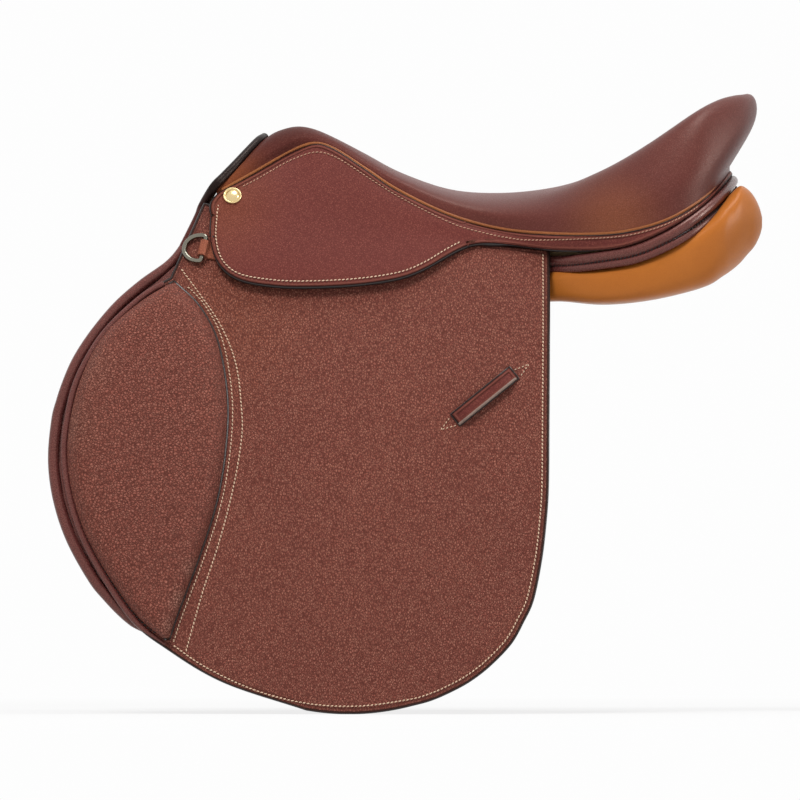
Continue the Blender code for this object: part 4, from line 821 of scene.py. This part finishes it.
def make_skirts():
    split = split_rib()
    count = 150
    for side, suffix in SIDES:
        flip = (1, side, 1)
        u = np.linspace(0, split, count)
        high = under_piping(u)
        x = np.linspace(-160, SKIRT_SPLIT, count)
        z = height(x, SKIRT_LINE)
        line = on_side(x, z, skirt_stand(x, z), 1)
        upper = cover(high, line, SKIRT_ROWS, 1.2)
        t = np.linspace(0, 1, SKIRT_ROWS)[:, None]
        upper[..., 0] -= 4.2 * np.sin(math.pi * t) * np.exp(-np.arange(count) / 12)
        edge = curve(SKIRT_EDGE, count)
        t = 1 - (1 - np.linspace(0, 1, SKIRT_ROWS)[1:, None]) ** 1.5
        xs, zs = x + (edge[:, 0] - x) * t, z + (edge[:, 1] - z) * t
        lower = on_side(xs, zs, skirt_stand(xs, zs), 1)
        whole, normals = soften_skirt(np.concatenate([upper, lower]), split)
        outer, square = whole[:, :count], normals[:, :count]
        inner = outer - square * LEATHER
        skirt = sheet(f"skirt_leather_{suffix}", outer * flip, inner * flip, "skirt", rim=0.8,
                      plain_sides=("right",))
        bend(skirt, "skirt", side, f"skirt_top_{suffix}", f"skirt_{suffix}")
        front = np.array([(-158.5, 44.5), (-159.4, 39)])
        hem = inset(curve(np.vstack([front, SKIRT_EDGE]), 400)[:-8], -HEM)
        side_stitches(f"skirt_stitch_{suffix}", hem, side,
                      lambda x, z: skirt_stand(x, z) + 0.2, "skirt")
        path, out = below_seam(whole, normals, 7.6)
        keep = (path[:, 0] > -136.5) & (np.arange(len(path)) < count + 110)
        seam = stitches(f"seam_stitch_{suffix}", path[keep] * flip, out[keep] * flip,
                        "seam_thread", thick=0.4)
        declare(seam, "saddle", "flap_leather")
        make_nail(whole, normals, flip, suffix)
    rear, square = whole[:, count - 1:], normals[:, count - 1:]
    square[:, -1, 1] = 0
    whole, normals = (np.concatenate([half * MIRROR, half[:, -2::-1]], 1)
                      for half in (rear, square))
    strip = sheet("cantle_strip", whole, whole - unit(normals) * LEATHER, "skirt", rim=0.8,
                  plain_sides=("left", "right"))
    declare(strip, "saddle", "flap_leather")


# Flaps

FLAP_FRONT = [(-211, -24.5), (-239, -51.5), (-258, -84), (-266, -115), (-268, -145),
              (-261.5, -181), (-247, -216), (-218, -260), (-191, -282), (-150, -306),
              (-90, -326)]
FLAP_REAR = [(86.4, -120), (85.9, -165), (84, -192), (80.9, -217.3), (75, -246),
             (67.6, -262.4), (58.7, -278), (43.6, -293.8), (28.8, -305.2), (14.1, -313.2),
             (-0.3, -319.3), (-15, -323.2)]
FLAP_TOP = (-189.0, 87.0)
FLAP_TOP_DROP = 4.0


def flap_head_drop(x):
    """Upper border of the flap, which rises between the skirt's ends to the tree."""
    inside = ease((x + 148) / 14 + 1) * ease((-42 - x) / 14 + 1)
    whole = -50 + 6 * ease(x / 55) - 3 * ease((-150 - x) / 10)
    return whole + (-21 - whole) * inside


def flap_lines():
    return [[(x, float(height(x, FLAP_TOP_DROP)))] + line
            for x, line in zip(FLAP_TOP, (FLAP_FRONT, FLAP_REAR))]


def make_flaps():
    front, rear = flap_lines()
    columns, rows = 110, 150
    s = np.linspace(0, 1, columns)
    low_x = FLAP_TOP[0] + (FLAP_TOP[1] - FLAP_TOP[0]) * s
    high_x = -165 + (FLAP_TOP[1] + 165) * s
    head_d = flap_head_drop(high_x)
    t = np.linspace(0, 1, 24)[:-1, None]
    head_x = high_x + (low_x - high_x) * t
    head_z = height(head_x, head_d + (FLAP_TOP_DROP - head_d) * t)
    a, b = curve(front, rows), curve(rear, rows)
    body = a[:, None] + (b - a)[:, None] * s[None, :, None]
    body[..., 1] -= (4 * np.linspace(0, 1, rows) ** 6)[:, None] * 4 * s * (1 - s)
    x = np.vstack([head_x, body[..., 0]])
    z = np.vstack([head_z, body[..., 1]])
    for side, suffix in SIDES:
        outer, inner = on_side(x, z, 0, side), on_side(x, z, -LEATHER, side)
        flap = sheet(f"flap_leather_{suffix}", outer, inner, "flap")
        bend(flap, "flap", side, f"flap_top_{suffix}", f"flap_{suffix}")
        bottom = [(-52, -328), (-90, -326), (-128, -316.5), (-165, -299.5), (-191, -282)]
        hem = inset(curve([(87, 5)] + rear + bottom, 900), HEM)
        hem = hem[(hem[:, 1] > -200) | (hem[:, 0] > -186)]
        side_stitches(f"flap_stitch_{suffix}", hem, side)
        gap = inset(curve(PAD_RIGHT, 300), -3.6)[12:]
        side_stitches(f"pad_stitch_{suffix}", gap, side, thick=0.42)
        side_stitches(f"pad_line_{suffix}", curve(SECOND_LINE, 300), side)
        edge = inset(curve(front[:10], 400)[8:-4], -1.3)
        path = at_side(edge, -0.7, side)
        radius = 2.6 - 1.4 * ease((np.arange(len(path)) - len(path) + 40) / 40)
        roll = tube(f"flap_piping_{suffix}", path, radius, "plum", sides=14)
        declare(roll, f"flap_{suffix}", "plum_leather", f"flap_edge_{suffix}")
        teeth = inset(edge, -2.8)[8:-14]
        side_stitches(f"piping_stitch_{suffix}", teeth, side, 0.2, mat="dark_thread",
                      thick=0.55, slant=0.8)
        make_pad(side, suffix)
        make_keeper(side, suffix)


PAD_RIGHT = [(-187, -14), (-168.6, -32), (-155, -58), (-148, -98), (-149, -135), (-155.6, -175),
             (-168.6, -216), (-184, -257), (-190, -275)]
PAD_LEFT = [(-191, -16), (-213, -30), (-238, -53), (-254.5, -84), (-262.5, -115), (-264.5, -145),
            (-258, -180), (-243.5, -214), (-216, -255), (-194, -275)]
SECOND_LINE = [(-181, -6), (-168.6, -22.9), (-155.6, -41.5), (-146.3, -60.2), (-140.7, -78.8),
               (-138, -100.7), (-137, -123.1), (-140.7, -151), (-147.2, -180.8),
               (-155.6, -210.6), (-165, -238.6), (-172.4, -264.6), (-177.5, -283)]


def make_pad(side, suffix):
    rows, columns = 110, 60
    left, right = curve(PAD_LEFT, rows), curve(PAD_RIGHT, rows)
    s = np.linspace(0, 1, columns)
    place = left[:, None] + (right - left)[:, None] * s[None, :, None]
    width = np.linalg.norm(right - left, axis=1)[:, None]
    reach = np.minimum(s * width, (1 - s) * width)
    ends = np.linspace(0, 1, rows)[:, None] * reach_of(left)[-1]
    reach = np.minimum(reach, np.minimum(ends + 4, ends.max() - ends + 4) * 0.8)
    round_off = np.clip(reach / 17.0, 0, 1)
    rise = 2.2 + 11.0 * np.sqrt(np.clip(1 - (1 - round_off) ** 2.4, 0, 1))
    outer, inner = soften(at_side(place, rise, side), 12), at_side(place, 0.2, side)
    # The pad's rim takes the black edge look: painted shade for the gap between pad and flap.
    pad = sheet(f"pad_leather_{suffix}", outer, inner, "pad", place, plain_sides=("left",))
    declare(pad, f"flap_{suffix}", "flap_leather", f"knee_pad_{suffix}")


KEEPER_PLACE = np.array([40.0, -98.0])
KEEPER_LENGTH = 55


def make_keeper(side, suffix):
    """Strap that keeps a leather's end, sewn down at both its ends, with a pale strip along its
    lower side that is a painted highlight.
    """
    tilt = math.radians(39)
    along = np.array([math.cos(tilt), math.sin(tilt)])
    across = np.array([-along[1], along[0]])
    t, k = np.meshgrid(np.linspace(-0.5, 0.5, 60), np.linspace(-0.5, 0.5, 12), indexing="ij")
    place = KEEPER_PLACE + t[..., None] * KEEPER_LENGTH * along + k[..., None] * 10.6 * across
    rise = 0.3 + 3.2 * ease((0.5 - abs(t)) * 5) - 0.7 * (2 * k) ** 4
    outer, inner = at_side(place, rise + 2.0, side), at_side(place, rise, side)
    # under='rim' gives the strap a black underside: painted shade beneath the raised strap.
    keeper = sheet(f"keeper_strap_{suffix}", outer, inner, "skirt", rim=0.7, under="rim")
    declare(keeper, f"flap_{suffix}", "flap_leather", f"keeper_{suffix}")
    # Pale strip along the strap's lower side: a painted highlight on its bevel.
    t = np.linspace(-0.5, 0.47, 60)
    line = KEEPER_PLACE + t[:, None] * KEEPER_LENGTH * along - 4.1 * across
    path = at_side(line, 2.0 + 3.2 * ease((0.5 - abs(t)) * 5), side)
    fold = tube(f"keeper_highlight_strip_{suffix}", path, 1.0, "fold", sides=10)
    declare(fold, f"flap_{suffix}", "flap_leather")
    for name, marks in (("upper", [(62.5, -78.5), (72.3, -74.7), (67, -82.3)]),
                        ("lower", [(13.7, -114.8), (8, -122.5), (18.3, -119.5)])):
        line = np.vstack([resample(np.array(marks[:2], float), 20),
                          resample(np.array(marks[1:], float), 20)[1:]])
        side_stitches(f"keeper_{name}_stitch_{suffix}", line, side, pitch=2.3, long=1.6,
                      thick=0.36)


# Rolls, panels and fittings

SWEAT_ROLL = [(-168, 34), (-178.4, 14.3), (-189.8, -1.1), (-209.4, -16.2), (-225.9, -30.5),
              (-238.7, -44.9), (-249.5, -59.4), (-257.9, -73.3), (-264.1, -87.6),
              (-268.9, -101.9), (-272.4, -116.2), (-274.6, -144.5), (-271, -172.8),
              (-261.6, -201.4), (-246, -229.8), (-234.6, -244.1), (-220.4, -258.3),
              (-202, -272)]
BINDING_PATH = [(72, 68, 3.5), (90, 78, 0.9), (109, 95, 1.8), (127, 105, 4.2), (150, 113, 8.5),
                (172, 112.5, 18.0), (190, 104.5, 29.3), (205, 88, 41.1), (215, 64, 50.9),
                (220.5, 31, 57.7), (222, 0, 59.9)]
WELT_PATH = [(72, 68, -2.6), (90, 78, -5.2), (109, 95, -4.3), (127, 105.5, -2.2),
             (150, 113.5, 1.7), (172, 113.5, 10.4), (190, 105.5, 20.7), (205, 89, 32.3),
             (215.5, 65, 42.4), (221.5, 31, 49.4), (223, 0, 51.6)]
PANEL = [(-168, 20, 10, -44, 5.0), (-155, 17, 16, -45, 8.0), (-130, 17, 14, -45, 9.0),
         (-95, 22, 8, -44, 9.5), (-50, 27, 0, -41, 10.0), (0, 30, -6, -36, 10.5),
         (50, 31, -10, -33, 10.5)]
PANEL_REAR = [(88, 31, -12, 85, -18.5, 11.7), (127, 31, -13.5, 108, -18, 14.3),
              (164, 31, -7.8, 116, -10.6, 17.8), (200, 31, 6.2, 107, 4.8, 24.0),
              (214, 31, 18.4, 101, 14.6, 27.0), (221, 32, 25, 95, 20.5, 28.6),
              (227, 34, 29.5, 89, 26, 28.6), (232.5, 37, 31, 82, 28.5, 24.2),
              (237.5, 42, 30.5, 75, 29, 18.4), (241.3, 48, 30, 67, 29, 10.6),
              (243.2, 55, 29.5, 61, 29, 3.4)]


def sweat_depth(x):
    """How far the sweat flap lies under the flap's face."""
    return 6.5 + 12.2 * ease((x + 215) / 110)


def make_rolls():
    for name, points, radius, node in (("binding_roll", BINDING_PATH, 4.0, "cantle_binding"),
                                       ("welt_roll", WELT_PATH, 2.9, "panel_welt")):
        roll = tube(name, both_sides(curve(points, 240)), radius, "plum")
        declare(roll, "saddle", "plum_leather", node)
    for side, suffix in SIDES:
        line = curve(SWEAT_ROLL, 400)
        path = at_side(line, -sweat_depth(line[:, 0]) - 1.5, side)
        along = np.linspace(0, 1, 400)
        radius = 2.6 + 1.7 * ease(along * 5) - 2.4 * ease((along - 0.95) * 20)
        roll = tube(f"front_roll_leather_{suffix}", path, radius, "plum")
        declare(roll, "saddle", "plum_leather", f"front_roll_{suffix}")
    lean = unit(np.array([-0.74, 0, 0.67])) * np.linspace(3.0, 1.2, 6)[:, None]
    marks = [(-180.5, 10.5), (-173.5, 24.5), (-168.8, 34.5), (-166.2, 41.5)]
    low = [on_side(x, z, 1.5 * k - 1.5 - float(sweat_depth(x)), 1)
           for k, (x, z) in enumerate(marks)]
    rim = seat_points(np.zeros(6), np.linspace(0, 1, 6)) + lean
    path = both_sides(curve(np.vstack([low, rim]), 160))
    facing = tube("facing_strip", path, 3.3, "facing", sides=22)
    declare(facing, "saddle", "plum_leather", "head_facing")
    upper, under = curve(BINDING_PATH, 240)[8:], curve(WELT_PATH, 240)[8:]
    out = unit(np.cross(np.gradient(upper, axis=0), upper - under))
    out *= np.sign((out * (1, 1, 0)).sum(-1).mean())
    groove = (0.42 * upper + 0.58 * under) + out * 2.0
    for side, suffix in SIDES:
        teeth = stitches(f"roll_stitch_{suffix}", groove * (1, side, 1), out * (1, side, 1),
                         "dark_thread", thick=0.55, slant=0.9)
        declare(teeth, "saddle", "plum_leather")


def make_ring(side, suffix):
    """D-ring of round wire."""
    place, lean = np.array([-165.5, 10.0]), np.array([-0.22, -0.97]) * 9
    top, foot = (on_side(*(place + k * lean), 3.8, side) for k in (-1, 1))
    down = unit(foot - top)
    square = side_normal(*place, side)
    square = unit(square - square.dot(down) * down)
    forward = side * np.cross(square, down)
    lying = forward * math.cos(math.radians(8)) - square * math.sin(math.radians(8))
    half = [(5, 0), (8.6, 0), (10.2, 1.4), (10.4, 4.5), (9.2, 8.6), (6.4, 12), (2.6, 14.1)]
    outline = [(0, 0)] + half + [(-s, t) for s, t in reversed(half)] + [(0, 0)]
    outline = curve(outline, 121)[:-1]
    path = (top + foot) / 2 + outline[:, :1] * down + outline[:, 1:] * lying
    ring = tube(f"ring_wire_{suffix}", path, 1.75, "steel", sides=18, closed=True, up=square)
    declare(ring, f"d_ring_{suffix}", "steel", f"d_ring_{suffix}")


def make_panels():
    sections = []
    for x, iy, iz, oz, thick in PANEL:
        depth = float(sweat_depth(x)) + 3.3 + 0.5 * thick
        sections.append((x, iy, iz, float(on_side(x, oz, -depth, 1)[1]), oz, thick))
    sections = np.array(sections + PANEL_REAR, float)
    chain = np.vstack([sections[:1], sections, sections[-1:]])
    around, steps = 64, 220
    t = np.linspace(0, len(sections) - 1, steps)
    i = np.minimum(t.astype(int), len(sections) - 2)
    now = catmull(chain[i], chain[i + 1], chain[i + 2], chain[i + 3], (t - i)[:, None])
    turns = np.linspace(0, 2 * math.pi, around, endpoint=False)
    c, n = np.cos(turns), np.sin(turns)
    for side, suffix in SIDES:
        rings = []
        for x, iy, iz, oy, oz, thick in now:
            power = 2 / (4.0 - 1.8 * ease((x - 196) / 34))
            a, b = np.sign(c) * abs(c) ** power, np.sign(n) * abs(n) ** power
            long_way = np.array([oy - iy, oz - iz])
            half = np.linalg.norm(long_way) / 2
            long_way /= 2 * half
            square = np.array([-long_way[1], long_way[0]])
            flat = (np.array([iy + oy, iz + oz]) / 2 + a[:, None] * half * long_way
                    + b[:, None] * thick * square)
            rings.append(np.stack([np.full(around, x), side * flat[:, 0], flat[:, 1]], 1))
        grid = np.array(rings)
        wrapped = np.concatenate([grid, grid[:, :1]], 1)
        verts, faces = weld([wrapped])
        for ring in (grid[0], grid[-1]):
            ids = [int(np.argmin(np.linalg.norm(verts - p, axis=1))) for p in ring]
            faces.append(ids)
        verts = relax(verts, faces, np.zeros(len(verts), bool), 12)
        panel = new_object(f"panel_cushion_{suffix}", verts, faces, "tan")
        declare(panel, "saddle", "tan_leather", f"panel_{suffix}")


# Camera, light and stage

CAMERA_PLACE, LENS = (-0.0218, -24.445, -0.1007), 1500
FLOOR_RADIUS = 9000
WHITE = 0.985


def make_stage():
    floor_z = CAD_BOX[0][2] / MM - 0.8
    turns = np.linspace(0, 2 * math.pi, 64, endpoint=False)
    verts = np.stack([FLOOR_RADIUS * np.cos(turns), FLOOR_RADIUS * np.sin(turns),
                      np.full(64, floor_z)], 1)
    s = Shader("studio_floor")
    s.set(Base_Color=(0.70, 0.70, 0.70, 1), Roughness=0.9, Specular_IOR_Level=0.0)
    glow = s.node("Emission")
    s.fill(glow, Color=(1, 1, 1, 1), Strength=WHITE)
    rays = s.node("LightPath").outputs
    seen = s.math("MAXIMUM", rays["Is Camera Ray"], rays["Is Glossy Ray"])
    mixer = s.node("MixShader")
    away = s.node("VectorMath", operation="LENGTH")
    s.link(s.coords((1, 1, 0)), away.inputs[0])
    share = s.ramp(away.outputs["Value"], 0.25, 1.3, 0.82, 1.0)
    s.link(s.times(seen, share), mixer.inputs[0])
    s.link(s.main.outputs[0], mixer.inputs[1])
    s.link(glow.outputs[0], mixer.inputs[2])
    out = s.tree.nodes["Material Output"]
    s.link(mixer.outputs[0], out.inputs["Surface"])
    MATS["floor"] = s.owner
    floor = new_object("studio_floor", verts, [list(range(64))], "floor")
    s = Shader("studio", "worlds")
    bpy.context.scene.world = s.owner
    rays = s.node("LightPath").outputs
    seen = s.math("MAXIMUM", rays["Is Camera Ray"], rays["Is Glossy Ray"])
    seen = s.math("MAXIMUM", seen, rays["Is Transmission Ray"])
    level = s.node("MapRange")
    s.fill(level, Value=seen, To_Min=0.28, To_Max=WHITE)
    s.set(Strength=level.outputs[0], Color=(1, 1, 1, 1))


def lamp(name, place, target, size, power, gloss=True, soft=True):
    data = bpy.data.lights.new(name, "AREA")
    data.shape = "RECTANGLE"
    data.size, data.size_y = size
    data.energy = power
    made = bpy.data.objects.new(name, data)
    bpy.context.scene.collection.objects.link(made)
    made.visible_glossy = gloss
    made.visible_diffuse = soft
    made.location = place
    made.rotation_euler = (Vector(target) - Vector(place)).to_track_quat("-Z", "Y").to_euler()


def make_camera():
    data = bpy.data.cameras.new("camera")
    data.sensor_width = 36
    data.lens = LENS
    camera = bpy.data.objects.new("camera", data)
    bpy.context.scene.collection.objects.link(camera)
    camera.location = CAMERA_PLACE
    camera.rotation_euler = (math.radians(90), 0, 0)
    bpy.context.scene.camera = camera


LOOKS = {"wood": ("tree",), "web": ("girth_web", "strainer"), "brass": ("saddle_nail",),
         "steel": ("stirrup_bar", "bar_catch", "catch_pin", "d_ring", "spring",
                   "gullet_plate", "head_plate"),
         "tan": ("gullet_lining",), "plum": ("sweat_flap",), "under": ("strap", "point_pocket"),
         "tab": ("d_tab",)}


def dress_frame():
    """Looks of the solids that the scene shows as they are."""
    for name, node in NODES.items():
        for look, starts in LOOKS.items():
            if name.startswith(starts):
                node.data.materials.clear()
                node.data.materials.append(MATS[look])


make_camera()
make_seat()
make_skirts()
make_flaps()
make_rolls()
make_panels()
dress_frame()
make_stage()
for side, suffix in SIDES:
    make_ring(side, suffix)
lamp("key", (-1.0, -2.0, 2.7), (0, 0, 0), (1.2, 1.0), 96, False)
lamp("fill", (2.0, -2.6, 0.3), (0, 0, -0.05), (1.6, 1.6), 17, False)
lamp("top", (0.55, -0.1, 2.6), (0.1, 0, 0), (1.5, 1.0), 40)
lamp("rim", (2.6, -0.2, 0.9), (0.2, 0, 0.08), (0.8, 1.2), 12, False)
lamp("sheen", (2.6, -0.36, 0.87), (0.2, 0, 0.08), (0.5, 1.2), 32, True, False)
bpy.context.scene.view_settings.view_transform = "Standard"
